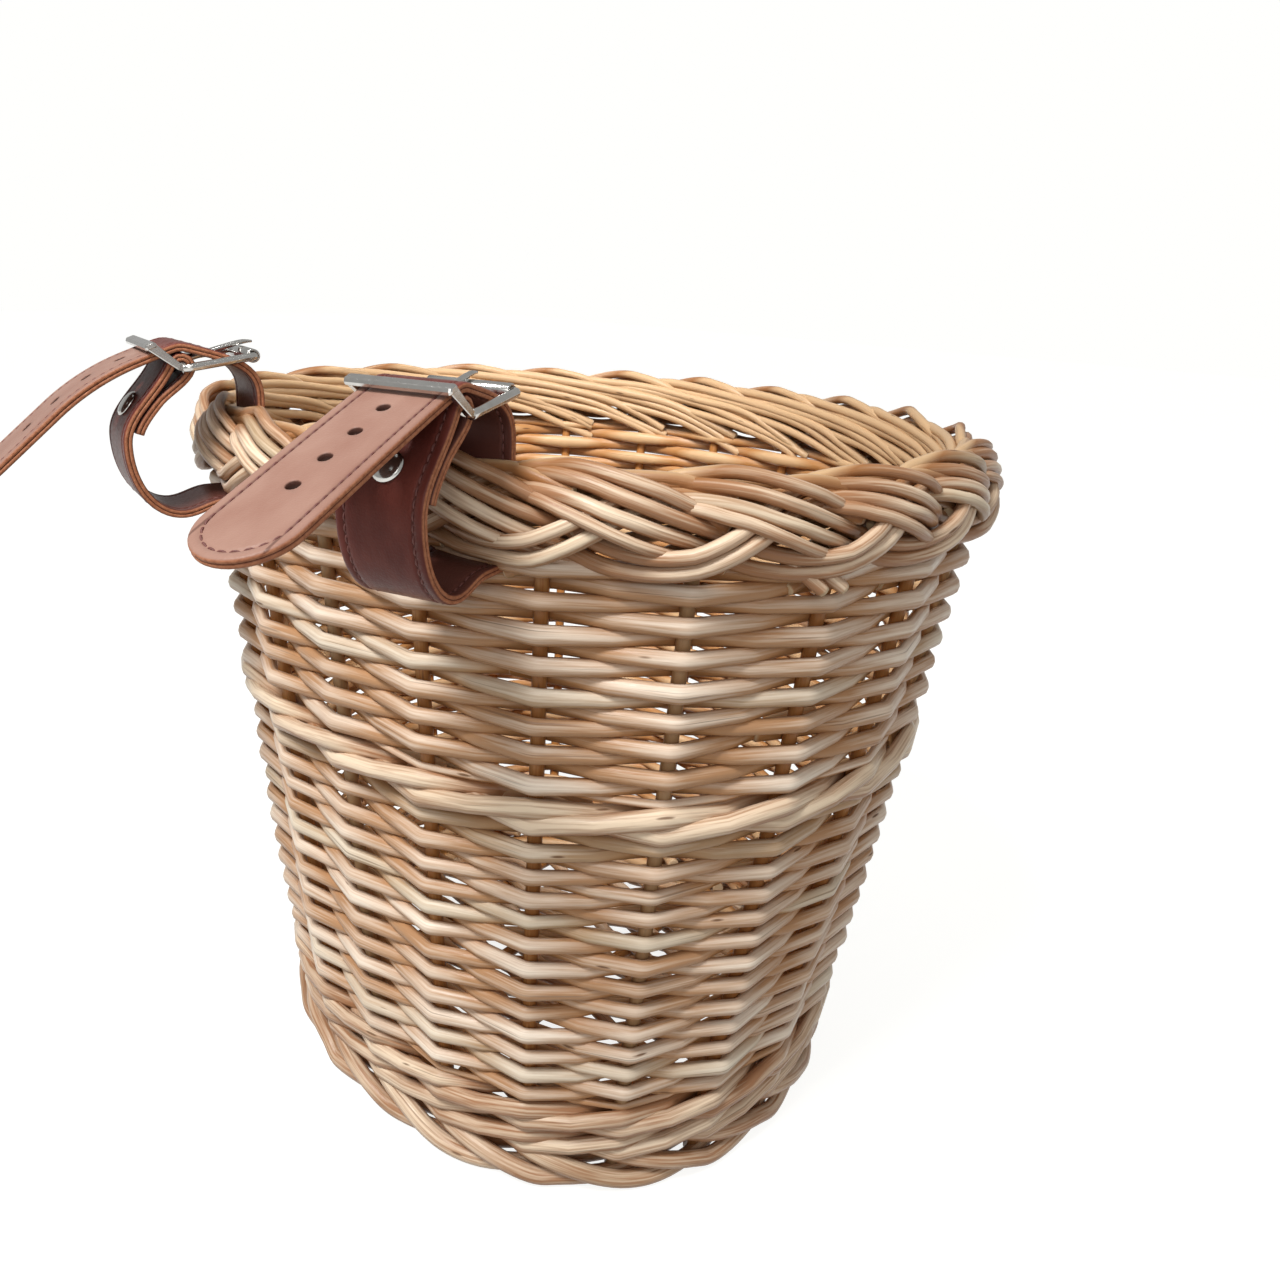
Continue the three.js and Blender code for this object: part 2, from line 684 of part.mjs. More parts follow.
function strapLine(tail) {
  const line = [];
  const add = (curve, steps) => {
    const points = curve.getPoints(steps);
    line.push(...(line.length > 0 ? points.slice(1) : points));
  };
  for (let i = 0; i < 4; i += 1) {
    line.push(layerPoint(THREE.MathUtils.lerp(LAYER_START, LAYER_END, i / 3)));
  }
  const layerTop = line[line.length - 1];
  const rising = leg.getTangent(LAYER_END).negate();
  const foldStart = onCircle(foldRadius, FOLD_START_ANGLE);
  add(bend(layerTop, rising, foldStart, heading(FOLD_START_ANGLE - 90), SLOT_PULL), 3);
  add(clockwiseArc(centreBar, foldRadius, FOLD_START_ANGLE, LEG_START_ANGLE), 6);
  add(leg, 5);
  add(bend(legMiddle, DOWN, loopBottom, IN, LOOP_PULL), 5);
  add(bend(loopBottom, IN, slotOuter, IN, SLOT_PULL), 2);
  line.push(slotInner);
  add(clockwiseArc(new THREE.Vector2(slotInner.x, runBottom.y), RUN_CORNER, 270, 180), 3);
  line.push(runTop);
  add(arch, 7);
  add(clockwiseArc(centreBar, overRadius, OVER_START_ANGLE, 90 - TAIL_SLOPE), 2);
  add(tail.curves[0], 1);
  add(tail.curves[1], 3);
  add(tail.curves[2], 1);
  return line;
}

// Turns a solid made around the plane's origin, z along a normal, to a place on the strap
function placed(geometry, point, tangent) {
  geometry.rotateY(-Math.atan2(tangent.y, tangent.x));
  geometry.translate(point.x, 0, point.y);
  return geometry;
}

function punch(radius, sides) {
  const geometry = new THREE.CylinderGeometry(radius, radius, 4 * STRAP_THICKNESS, sides);
  geometry.rotateX(Math.PI / 2);
  return geometry;
}

// Tongue: it lies from the centre bar over the roller
const rollerCentre = (() => {
  const tangent = arch.getTangent(ROLLER_PLACE);
  const out = new THREE.Vector2(-tangent.y, tangent.x);
  const distance = RIBBON_HALF + BUCKLE_CLEARANCE + ROLLER_RADIUS;
  return arch.getPoint(ROLLER_PLACE).addScaledVector(out, distance);
})();
const toRoller = rollerCentre.clone().sub(centreBar);
const tongueLift = ROLLER_RADIUS + RUNNING_GAP + TONGUE_THICKNESS / 2;
const tongueAngle = THREE.MathUtils.radToDeg(
  Math.atan2(toRoller.y, toRoller.x) - Math.asin(tongueLift / toRoller.length()),
);
function tongueSlot() {
  const half = TONGUE_THICKNESS / 2 + RUNNING_GAP;
  const low = heading(tongueAngle + BUCKLE_TILT);
  const high = heading(tongueAngle - TONGUE_OPENING - BUCKLE_TILT);
  const lowSide = new THREE.Vector2(-low.y, low.x).multiplyScalar(half);
  const highSide = new THREE.Vector2(high.y, -high.x).multiplyScalar(half);
  const points = [
    centreBar.clone().add(lowSide),
    centreBar.clone().add(lowSide).addScaledVector(low, TONGUE_SLOT_REACH),
    centreBar.clone().add(highSide).addScaledVector(high, TONGUE_SLOT_REACH),
    centreBar.clone().add(highSide),
  ];
  return plate(points, TONGUE_WIDTH + 2 * RUNNING_GAP);
}

function strapSolid(droop) {
  const tail = tailPath(droop);
  let strap = solidOf(plate(bandOutline(strapLine(tail), STRAP_THICKNESS), STRAP_WIDTH));
  const length = tail.getLength();
  for (let i = 0; i < TAIL_HOLES; i += 1) {
    const share = (FIRST_HOLE + i * TAIL_HOLE_PITCH) / length;
    const hole = placed(punch(HOLE_RADIUS, 6), tail.getPointAt(share), tail.getTangentAt(share));
    strap = strap.subtract(solidOf(hole));
  }
  const rivetHole = punch(RIVET_POST_RADIUS + RUNNING_GAP, 8);
  strap = strap.subtract(solidOf(placed(rivetHole, leg.getPoint(RIVET_PLACE), leg.getTangent(RIVET_PLACE))));
  const eyeRoom = bar(centreBar, eyeRadius + RUNNING_GAP, TONGUE_WIDTH + 2 * RUNNING_GAP, 12);
  strap = strap.subtract(solidOf(eyeRoom));
  strap = strap.subtract(solidOf(tongueSlot()));

  // The tail's end is rounded over the strap's whole width
  const tipRadius = STRAP_WIDTH / 2;
  const tipShare = 1 - tipRadius / length;
  const block = new THREE.BoxGeometry(2 * tipRadius, 3 * tipRadius, 2 * STRAP_THICKNESS);
  block.translate(tipRadius, 0, 0);
  const disc = punch(tipRadius, 20);
  const corners = solidOf(block).subtract(solidOf(disc));
  const moved = placed(geometryOf(corners), tail.getPointAt(tipShare), tail.getTangentAt(1));
  return strap.subtract(solidOf(moved));
}

const eyeRadius = CENTRE_BAR_RADIUS + RUNNING_GAP + EYE_WALL;
const frameInnerWidth = STRAP_WIDTH + 2 * RAIL_CLEARANCE;
const frameWidth = frameInnerWidth + 2 * RAIL_WIDTH;

function buckleFrame() {
  const slope = heading(-TAIL_SLOPE);
  const above = heading(90 - TAIL_SLOPE);
  const frontLift = RIBBON_HALF + BUCKLE_CLEARANCE + FRONT_BAR_HEIGHT / 2;
  const front = tailStart.clone().addScaledVector(slope, FRONT_BAR_PLACE).addScaledVector(above, frontLift);
  const corner = (x, y) => front.clone().addScaledVector(slope, x).addScaledVector(above, y);
  const halfLength = FRONT_BAR_LENGTH / 2;
  const halfHeight = FRONT_BAR_HEIGHT / 2;
  const bevelled = [
    corner(-halfLength, -halfHeight),
    corner(halfLength, -halfHeight),
    corner(halfLength, 0),
    corner(halfLength / 2, halfHeight),
    corner(-halfLength / 2, halfHeight),
    corner(-halfLength, 0),
  ];
  let frame = solidOf(plate(bevelled, frameWidth));
  const rail = plate(bandOutline([front, centreBar, rollerCentre], RAIL_THICKNESS), RAIL_WIDTH);
  for (const side of [-1, 1]) {
    const moved = rail.clone().translate(0, (side * (frameInnerWidth + RAIL_WIDTH)) / 2, 0);
    frame = frame.add(solidOf(moved));
  }
  frame = frame.add(solidOf(bar(centreBar, CENTRE_BAR_RADIUS, frameWidth - RAIL_WIDTH, 8)));
  frame = frame.add(solidOf(bar(rollerCentre, BACK_BAR_RADIUS, frameWidth - RAIL_WIDTH, 8)));
  return geometryOf(frame);
}

function ringPlate(centre, outerRadius, innerRadius, width, sides) {
  return solidOf(bar(centre, outerRadius, width, sides)).subtract(
    solidOf(bar(centre, innerRadius, 2 * width, sides)),
  );
}

function buckleTongue() {
  const along = heading(tongueAngle);
  const contact = centreBar.clone().addScaledVector(along, toRoller.length());
  const tip = contact.clone().addScaledVector(heading(tongueAngle + TONGUE_HOOK), TONGUE_OVERHANG);
  const start = centreBar.clone().addScaledVector(along, eyeRadius - EYE_WALL / 2);
  const arm = solidOf(plate(bandOutline([start, contact, tip], TONGUE_THICKNESS), TONGUE_WIDTH));
  const eye = ringPlate(centreBar, eyeRadius, CENTRE_BAR_RADIUS + RUNNING_GAP, TONGUE_WIDTH, 10);
  return geometryOf(eye.add(arm));
}

function buckleRoller() {
  const length = frameInnerWidth - 2 * RUNNING_GAP;
  return geometryOf(ringPlate(rollerCentre, ROLLER_RADIUS, ROLLER_RADIUS - ROLLER_WALL, length, 12));
}

// Rivet through both layers of the outer leg
function strapRivet() {
  const outer = RIBBON_HALF + RUNNING_GAP / 2;
  const inner = -(STRAP_THICKNESS + 2 * RUNNING_GAP + outer);
  const backRadius = 2 * RIVET_POST_RADIUS;
  const profile = [
    [0, inner - RIVET_BACK_HEIGHT],
    [backRadius, inner - RIVET_BACK_HEIGHT],
    [backRadius, inner],
    [RIVET_POST_RADIUS, inner],
    [RIVET_POST_RADIUS, outer],
    [RIVET_HEAD_RADIUS, outer],
    [RIVET_HEAD_RADIUS * 0.7, outer + RIVET_HEAD_HEIGHT * 0.75],
    [0, outer + RIVET_HEAD_HEIGHT],
  ];
  const points = profile.map(([radius, height]) => new THREE.Vector2(radius, height));
  const geometry = new THREE.LatheGeometry(points, 10);
  geometry.rotateX(Math.PI / 2);
  return geometryOf(solidOf(placed(geometry, leg.getPoint(RIVET_PLACE), leg.getTangent(RIVET_PLACE))));
}

for (const { side, bay, droop } of STRAPS) {
  const station = wallStation(bay / STAKE_COUNT, WALL_HEIGHT, 0);
  const assembly = new THREE.Group();
  assembly.position.set(station.centre.x, station.centre.y, 0);
  assembly.rotation.z = Math.atan2(station.across.y, station.across.x);
  addMesh(assembly, `${side}_strap`, geometryOf(strapSolid(droop)), leather);
  addMesh(assembly, `${side}_buckle_frame`, buckleFrame(), nickel);
  addMesh(assembly, `${side}_buckle_tongue`, buckleTongue(), nickel);
  addMesh(assembly, `${side}_buckle_roller`, buckleRoller(), nickel);
  addMesh(assembly, `${side}_rivet`, strapRivet(), nickel);
  part.add(assembly);
}

// The origin is under the middle of the whole part, on the ground
const box = new THREE.Box3().setFromObject(part);
part.position.x = -(box.min.x + box.max.x) / 2;
part.position.y = -(box.min.y + box.max.y) / 2;

export default part;
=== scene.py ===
# %% [markdown]
# A wicker bicycle basket is a pattern of rods worked round one closed line, with two
# buckled leather straps on its back rim. The bodies, joints and sizes come from the packed
# frame. This script weaves the real rods on the same line, and makes the leather and metal.

# %% Start with the frame
import json
import math

import bmesh
import bpy
import numpy as np
from mathutils import Matrix, Vector

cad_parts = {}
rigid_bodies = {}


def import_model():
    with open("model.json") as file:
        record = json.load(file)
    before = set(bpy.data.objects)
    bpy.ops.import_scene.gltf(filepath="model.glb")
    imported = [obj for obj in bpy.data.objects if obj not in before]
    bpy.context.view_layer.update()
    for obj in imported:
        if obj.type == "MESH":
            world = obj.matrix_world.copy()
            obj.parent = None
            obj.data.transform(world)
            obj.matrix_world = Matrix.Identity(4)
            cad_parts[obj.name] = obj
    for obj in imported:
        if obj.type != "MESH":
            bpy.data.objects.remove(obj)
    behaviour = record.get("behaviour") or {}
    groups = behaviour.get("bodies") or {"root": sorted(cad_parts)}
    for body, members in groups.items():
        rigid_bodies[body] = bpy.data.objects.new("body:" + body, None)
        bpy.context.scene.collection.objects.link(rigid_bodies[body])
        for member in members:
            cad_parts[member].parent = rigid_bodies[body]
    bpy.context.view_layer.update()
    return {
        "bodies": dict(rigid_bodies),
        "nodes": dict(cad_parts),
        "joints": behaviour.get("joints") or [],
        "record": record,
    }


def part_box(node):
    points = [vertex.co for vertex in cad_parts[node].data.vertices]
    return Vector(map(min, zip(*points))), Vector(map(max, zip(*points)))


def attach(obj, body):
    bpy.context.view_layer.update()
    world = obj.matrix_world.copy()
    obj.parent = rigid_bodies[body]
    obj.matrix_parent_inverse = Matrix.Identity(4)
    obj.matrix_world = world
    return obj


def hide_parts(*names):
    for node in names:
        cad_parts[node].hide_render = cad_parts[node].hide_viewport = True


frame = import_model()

MM = 0.001
random = np.random.default_rng(21)

# %% [markdown]
# Every rod is placed by three numbers: how far round the wall it is, counted in stakes,
# how high, and how far outside the line of the stakes. The line is a rounded D at the
# ground and a larger one at the rim. All lengths are in millimetres until a mesh is made.

# %% Plan of the wall
STAKES = 21
WALL_HEIGHT = 250.0
RIM_HALF = (157.0, 133.0)
GROUND_HALF = (120.0, 106.0)
BACK_SQUARENESS = 2.3
FRONT_SQUARENESS = 2.1
OUTLINE_SAMPLES = 1440
# The rods lie a little inside the line, more so at the foot, which also stands back
WALL_INSET = 0.6
FOOT_INSET, FOOT_INSET_FADE = 5.5, 45.0
FOOT_SETBACK = 4.0

hoop_low, hoop_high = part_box("base_hoop")
wall_origin = np.array([(hoop_low.x + hoop_high.x) / 2, (hoop_low.y + hoop_high.y) / 2, 0.0])


def unit(rows):
    return rows / np.linalg.norm(rows, axis=-1, keepdims=True)


def line_length(line):
    return np.r_[0, np.cumsum(np.linalg.norm(np.diff(line, axis=0), axis=1))]


def places_on(line, lengths, places):
    """Points of a flat line at places that are measured along it."""
    return np.stack([np.interp(places, lengths, line[:, k]) for k in (0, 1)], -1)


def outline(half):
    angle = np.linspace(0, 2 * math.pi, OUTLINE_SAMPLES + 1) - math.pi / 2
    c, s = np.cos(angle), np.sin(angle)
    power = np.where(s < 0, BACK_SQUARENESS, FRONT_SQUARENESS)
    radius = (abs(c) ** power + abs(s) ** power) ** (-1 / power)
    points = np.stack([half[0] * radius * c, half[1] * radius * s], 1)
    return points, line_length(points)


RIM = outline(RIM_HALF)
GROUND = outline(GROUND_HALF)


def line_point(plan, turn):
    points, lengths = plan
    return places_on(points, lengths, (turn % 1.0) * lengths[-1])


def line_normal(plan, turn):
    step = 2 / OUTLINE_SAMPLES
    tangent = line_point(plan, turn + step) - line_point(plan, turn - step)
    return unit(np.stack([tangent[:, 1], -tangent[:, 0]], 1))


def wall(place, height, outset, level=None):
    """Points and outward normals at places counted in stakes from the middle of the back."""
    place, height, outset = np.broadcast_arrays(*map(np.atleast_1d, (place, height, outset)))
    turn = place / STAKES
    outset = outset - WALL_INSET - FOOT_INSET * np.exp(-height / FOOT_INSET_FADE)
    share = (height if level is None else np.full(len(turn), level))[:, None] / WALL_HEIGHT
    flat = line_point(GROUND, turn) * (1 - share) + line_point(RIM, turn) * share
    normal = unit(line_normal(GROUND, turn) * (1 - share) + line_normal(RIM, turn) * share)
    flat = flat + normal * outset[:, None]
    flat[:, 1] -= FOOT_SETBACK * np.maximum(1 - height / WALL_HEIGHT, 0)
    return np.hstack([flat, height[:, None]]), np.hstack([normal, np.zeros((len(turn), 1))])


rim_pitch = RIM[1][-1] / STAKES
print("rim", round(RIM[1][-1]), "mm round, stakes", round(rim_pitch, 1), "mm apart")

# %% [markdown]
# The camera stands where the photograph was taken, a little above the rim and close, so
# the near rim looks much larger than the far one. Its place is measured from the wall.

# %% Camera
CAMERA_PLACE = (279.6, -322.8, 331.8)
CAMERA_HEADING, CAMERA_PITCH, CAMERA_ROLL = 128.597, 14.439, 2.962
CAMERA_LENS = 28.146
CAMERA_SHIFT = (0.0142, -0.0786)


def link_object(name, data):
    made = bpy.data.objects.new(name, data)
    bpy.context.scene.collection.objects.link(made)
    return made


def add_camera():
    heading, pitch, roll = map(math.radians, (CAMERA_HEADING, CAMERA_PITCH, CAMERA_ROLL))
    flat = Vector((math.cos(heading), math.sin(heading), 0))
    ahead = flat * math.cos(pitch) + Vector((0, 0, -math.sin(pitch)))
    right = ahead.cross(Vector((0, 0, 1))).normalized()
    up = right.cross(ahead)
    rolled_right = right * math.cos(roll) + up * math.sin(roll)
    rolled_up = up * math.cos(roll) - right * math.sin(roll)
    data = bpy.data.cameras.new("camera")
    data.sensor_width = 36
    data.lens = CAMERA_LENS
    data.shift_x, data.shift_y = CAMERA_SHIFT
    data.clip_start, data.clip_end = 0.01, 20
    camera = link_object("camera", data)
    turn = Matrix((rolled_right, rolled_up, -ahead)).transposed().to_4x4()
    place = Vector(wall_origin) + Vector(CAMERA_PLACE) * MM
    camera.matrix_world = Matrix.Translation(place) @ turn
    bpy.context.scene.camera = camera
    return camera


camera = add_camera()
print("camera", [round(v, 3) for v in camera.location])

# %% [markdown]
# Materials, the world and the floor are small networks of nodes. Short names for the nodes
# that come back again keep each network readable as a few lines of arithmetic.

# %% Short names for nodes


class Wiring:
    """Adds nodes to one tree. What goes into a node is a number, a colour or a socket."""

    def __init__(self, tree):
        self.tree = tree

    def join(self, value, socket):
        if isinstance(value, bpy.types.NodeSocket):
            self.tree.links.new(value, socket)
        else:
            socket.default_value = (*value, 1) if socket.type == "RGBA" else value

    def make(self, kind, inputs=None, **settings):
        made = self.tree.nodes.new("ShaderNode" + kind)
        for key, value in settings.items():
            setattr(made, key, value)
        for key, value in (inputs or {}).items():
            self.join(value, made.inputs[key])
        return made

    def maths(self, operation, first, second=0.0):
        return self.make("Math", {0: first, 1: second}, operation=operation).outputs[0]

    def plus(self, first, second):
        return self.maths("ADD", first, second)

    def times(self, first, second):
        return self.maths("MULTIPLY", first, second)

    def mix(self, factor, first, second):
        return self.make("Mix", {0: factor, 6: first, 7: second}, data_type="RGBA").outputs[2]

    def cover(self, colour, *coats):
        """Mixes other colours over the first, one after another."""
        for factor, other in coats:
            colour = self.mix(factor, colour, other)
        return colour

    def remap(self, value, low, high, to_low=0.0, to_high=1.0):
        limits = {"From Min": low, "From Max": high, "To Min": to_low, "To Max": to_high}
        return self.make("MapRange", {"Value": value, **limits}).outputs["Result"]

    def scaled(self, vector, scale):
        return self.make("VectorMath", {0: vector, 1: scale}, operation="MULTIPLY").outputs[0]

    def noise(self, vector, stretch, scale=1.0, detail=2.0):
        inputs = {"Vector": self.scaled(vector, stretch), "Scale": scale, "Detail": detail}
        return self.make("TexNoise", inputs).outputs["Fac"]

    def cells(self, vector, scale):
        """Distance to the nearest of some scattered points."""
        made = self.make("TexVoronoi", {"Vector": vector, "Scale": scale}, feature="F1")
        return made.outputs["Distance"]

    def read(self, name, output="Vector"):
        return self.make("Attribute", attribute_name=name).outputs[output]

    def split(self, vector):
        return self.make("SeparateXYZ", {0: vector}).outputs

    def rays(self, mirrored=1.0):
        """One for the camera's rays and a share for mirrored ones, and the kinds of ray."""
        path = self.make("LightPath").outputs
        share = self.times(path["Is Glossy Ray"], mirrored)
        return self.maths("MAXIMUM", path["Is Camera Ray"], share), path

    def surface(self, shader, made, strength, distance):
        """Lays colour, roughness and height on a shader."""
        colour, rough, height = made
        bump = self.make("Bump", {"Strength": strength, "Distance": distance, "Height": height})
        for key, value in zip(("Base Color", "Roughness", "Normal"), (colour, rough, bump.outputs[0])):
            self.join(value, shader.inputs[key])


def new_material(name, **constants):
    material = bpy.data.materials.new(name)
    material.use_nodes = True
    wiring = Wiring(material.node_tree)
    shader = material.node_tree.nodes["Principled BSDF"]
    for key, value in constants.items():
        wiring.join(value, shader.inputs[key.replace("_", " ")])
    return material, wiring, shader


FINISH = (("Colour", "NodeSocketColor"), ("Roughness", "NodeSocketFloat"),
          ("Height", "NodeSocketFloat"))


def finish_group(name, **given):
    """A node group that takes the given colours and values and puts out a finish."""
    group = bpy.data.node_groups.new(name, "ShaderNodeTree")
    for key, default in given.items():
        colour = isinstance(default, tuple)
        kind = "NodeSocketColor" if colour else "NodeSocketFloat"
        socket = group.interface.new_socket(key, in_out="INPUT", socket_type=kind)
        socket.default_value = (*default, 1) if colour else default
    for key, kind in FINISH:
        group.interface.new_socket(key, in_out="OUTPUT", socket_type=kind)
    return Wiring(group), group.nodes.new("NodeGroupInput").outputs


def put_out(wiring, *finish):
    result = wiring.tree.nodes.new("NodeGroupOutput")
    for value, (key, _) in zip(finish, FINISH):
        wiring.join(value, result.inputs[key])
    return wiring.tree


def group_material(name, group, constants, strength, distance, **given):
    """A material that feeds a finish group and wears what it puts out."""
    material, wiring, shader = new_material(name, **constants)
    finish = wiring.make("Group", node_tree=group)
    for key, value in given.items():
        wiring.join(value, finish.inputs[key])
    wiring.surface(shader, [finish.outputs[key] for key, _ in FINISH], strength, distance)
    return material


# %% [markdown]
# The photograph has a white ground and soft light from above. The world is white to the
# camera, and dimmer as a lamp and in the metal. One large lamp hangs over the basket and
# gives the tops of the rods their pale edge. A weaker one fills the side in view, and a
# narrow one reaches over the near rim to the far side of the inside.

# %% Light and floor
WHITE = (1.0, 1.0, 0.985)
WORLD_LIGHT = 0.38
WORLD_MIRRORED = 0.15
KEY_POWER = 18.0
FILL_POWER = 3.3
INSIDE_POWER = 13.0
INSIDE_CONE = math.radians(26)
FLOOR_GLOW = 0.87
FLOOR_GREY = (0.30, 0.30, 0.29)
FLOOR_REACH = 6.0


def add_world():
    world = bpy.data.worlds.new("white_room")
    bpy.context.scene.world = world
    world.use_nodes = True
    world.node_tree.nodes.clear()
    w = Wiring(world.node_tree)
    seen, path = w.rays(WORLD_MIRRORED)
    seen = w.maths("MAXIMUM", seen, path["Is Transmission Ray"])
    level = w.remap(seen, 0.0, 1.0, WORLD_LIGHT, 1.0)
    background = w.make("Background", {"Color": WHITE, "Strength": level})
    w.make("OutputWorld", {"Surface": background.outputs[0]})


def add_lamp(name, kind, place, target, power, **settings):
    data = bpy.data.lights.new(name, kind)
    for key, value in {"energy": power, **settings}.items():
        setattr(data, key, value)
    lamp = link_object(name, data)
    lamp.location = place
    lamp.rotation_euler = (Vector(target) - Vector(place)).to_track_quat("-Z", "Y").to_euler()


def add_floor():
    r = FLOOR_REACH
    mesh = bpy.data.meshes.new("floor")
    mesh.from_pydata([(-r, -r, 0), (r, -r, 0), (r, r, 0), (-r, r, 0)], [], [(0, 1, 2, 3)])
    material, w, shader = new_material(
        "floor_paper", Base_Color=FLOOR_GREY, Roughness=0.9, Emission_Color=WHITE)
    w.join(w.times(w.rays()[0], FLOOR_GLOW), shader.inputs["Emission Strength"])
    mesh.materials.append(material)
    floor = link_object("floor", mesh)


add_world()
add_lamp("key", "AREA", (0.04, -0.78, 1.32), (0, 0.02, 0.15), KEY_POWER, shape="DISK", size=0.45)
add_lamp("fill", "AREA", (0.9, -0.9, 0.75), (0, 0, 0.15), FILL_POWER, shape="DISK", size=0.8)
add_lamp("inside", "SPOT", (0.20, -0.22, 0.80), (-0.10, 0.11, 0.17), INSIDE_POWER,
         spot_size=INSIDE_CONE, spot_blend=0.6, shadow_soft_size=0.05)
add_floor()
bpy.context.scene.view_settings.view_transform = "Standard"
print("lamps", len(bpy.data.lights))

# %% [markdown]
# A rod of willow is round, tapers from its butt to its tip, and ends in a slanting cut.
# All rods of one piece share a mesh. Each point carries its place on its own rod, so the
# grain runs along every rod however it bends, and a tone of its own for each rod.

# %% Meshes and pieces


def circle(sides, spin=0.0):
    angle = 2 * math.pi * np.arange(sides) / sides + spin
    return np.cos(angle), np.sin(angle)


def make_mesh(name, points, faces, recalculate=False):
    mesh = bpy.data.meshes.new(name)
    mesh.from_pydata((points * MM + wall_origin).tolist(), [], faces)
    if recalculate:
        fix = bmesh.new()
        fix.from_mesh(mesh)
        bmesh.ops.recalc_face_normals(fix, faces=fix.faces)
        fix.to_mesh(mesh)
        fix.free()
    return mesh


def add_layer(mesh, key, values):
    """A value or a vector at each point, which a material reads by its name."""
    vector = values.ndim == 2
    layer = mesh.attributes.new(key, "FLOAT_VECTOR" if vector else "FLOAT", "POINT")
    layer.data.foreach_set("vector" if vector else "value", values.astype(np.float32).ravel())


def place_piece(mesh, name, material, body, nodes):
    mesh.update()
    piece = link_object(name, mesh)
    mesh.materials.append(material)
    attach(piece, body)
    if nodes:
        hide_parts(*nodes)


def ring_faces(first, rings, around, loop):
    """Faces between neighbouring rings of points, and the two that close the ends."""
    ids = first + np.arange(rings * around).reshape(rings, around)
    corners = [ids, np.roll(ids, -1, 1), np.roll(ids, (-1, -1), (0, 1)), np.roll(ids, -1, 0)]
    quads = np.stack(corners, -1)
    quads = (quads if loop else quads[:-1]).reshape(-1, 4).tolist()
    return quads, [] if loop else [ids[0, ::-1].tolist(), ids[-1].tolist()]


# %% Rods
ROD_SIDES = 10
CUT_BEVEL = 0.86
GRAIN_SHIFT = 4000


class Bundle:
    """The rods of one piece: corners, faces, and what the finish reads at each corner."""

    def __init__(self):
        self.points, self.faces, self.cut_faces, self.count = [], [], [], 0
        self.layers = {"rod_place": [], "rod_tone": [], "rod_depth": [], "rod_underside": []}

    def add(self, centres, out, radius, closed=False, flat=0.0, tone=None, sides=ROD_SIDES,
            outset=0.0):
        centres = np.asarray(centres, float)
        shapes = (outset, radius, flat)
        outset, radius, flat = (np.array(np.broadcast_to(v, len(centres)), float) for v in shapes)
        if closed:
            before = np.roll(centres, 1, 0)
            tangent = unit(np.roll(centres, -1, 0) - before)
            steps = np.linalg.norm(centres - before, axis=1)
            length = np.cumsum(np.r_[0, steps[1:]])
        else:
            tangent = unit(np.gradient(centres, axis=0))
            length = line_length(centres)
        a = unit(out - tangent * (out * tangent).sum(1)[:, None])
        b = np.cross(tangent, a)
        c, s = (v[:, None] for v in circle(sides))
        wide, high = radius * (1 - flat), radius * (1 + flat)
        rings = (centres[:, None] + a[:, None] * c * wide[:, None, None]
                 + b[:, None] * s * high[:, None, None])
        if not closed:
            slant = random.uniform(-0.5, 0.5)
            reach = 0.25 + 0.5 * abs(slant) + 0.5 * slant * c
            cuts = [centres[i] + radius[i] * (CUT_BEVEL * (c * a[i] + s * b[i])
                                              + way * reach * tangent[i])
                    for i, way in ((0, -1), (-1, 1))]
            rings = np.concatenate([cuts[:1], rings, cuts[1:]])
            length, outset, radius = (np.pad(v, 1, "edge") for v in (length, outset, radius))
            radius[[0, -1]] *= CUT_BEVEL
        spin = random.uniform(0, 2 * math.pi)
        offset = random.uniform(0, GRAIN_SHIFT)
        tone = random.uniform(0, 1) if tone is None else tone
        hue = random.uniform(0, 1)
        shape = rings.shape[:2]
        r = radius[:, None]
        cut = np.zeros(shape)
        if not closed:
            cut[[0, -1]] = 1
        level = rings[:, :, 2]
        across, above = circle(sides, spin)
        place = (length[:, None] + offset, r * across, r * above)
        # rod_depth and rod_underside feed the painted shade and the painted inside glow of the willow
        # finish
        for key, values in (
                ("rod_place", np.stack(np.broadcast_arrays(*place), -1).reshape(-1, 3)),
                ("rod_tone", np.stack(np.broadcast_arrays(tone, hue, cut), -1).reshape(-1, 3)),
                ("rod_depth", (outset[:, None] + r * c.T).ravel()),
                ("rod_underside", ((level.mean(1)[:, None] - level) / r).ravel())):
            self.layers[key].append(values)
        faces, ends = ring_faces(self.count, *shape, closed)
        self.faces += faces
        self.cut_faces += ends
        self.points.append(rings.reshape(-1, 3))
        self.count += shape[0] * sides

    def piece(self, name, material, body, slot, nodes):
        """One object of all the rods, which stands for its nodes in the frame."""
        mesh = make_mesh(name, np.concatenate(self.points), self.faces + self.cut_faces)
        smooth = [True] * len(self.faces) + [False] * len(self.cut_faces)
        mesh.polygons.foreach_set("use_smooth", smooth)
        for key, values in self.layers.items():
            add_layer(mesh, key, np.concatenate(values))
        place_piece(mesh, name, material, body, nodes)

    def willow(self, name, material, slot="willow_weavers"):
        self.piece(f"willow_{name}", material, "basket", slot, [name])


# %% [markdown]
# Peeled willow is cream to straw coloured with a half gloss. Fine grain runs along it, the
# tone drifts from one stretch to the next, and leaf scars leave small dark marks. Light and
# shade are painted on too: a rod is painted palest on its outer crest, gets painted shade
# underneath, between the rods and where it goes in behind a stake, and a painted golden glow
# of bounced light on the inside. One node group makes all that from the rod's own
# coordinates, and each willow material feeds it other colours.

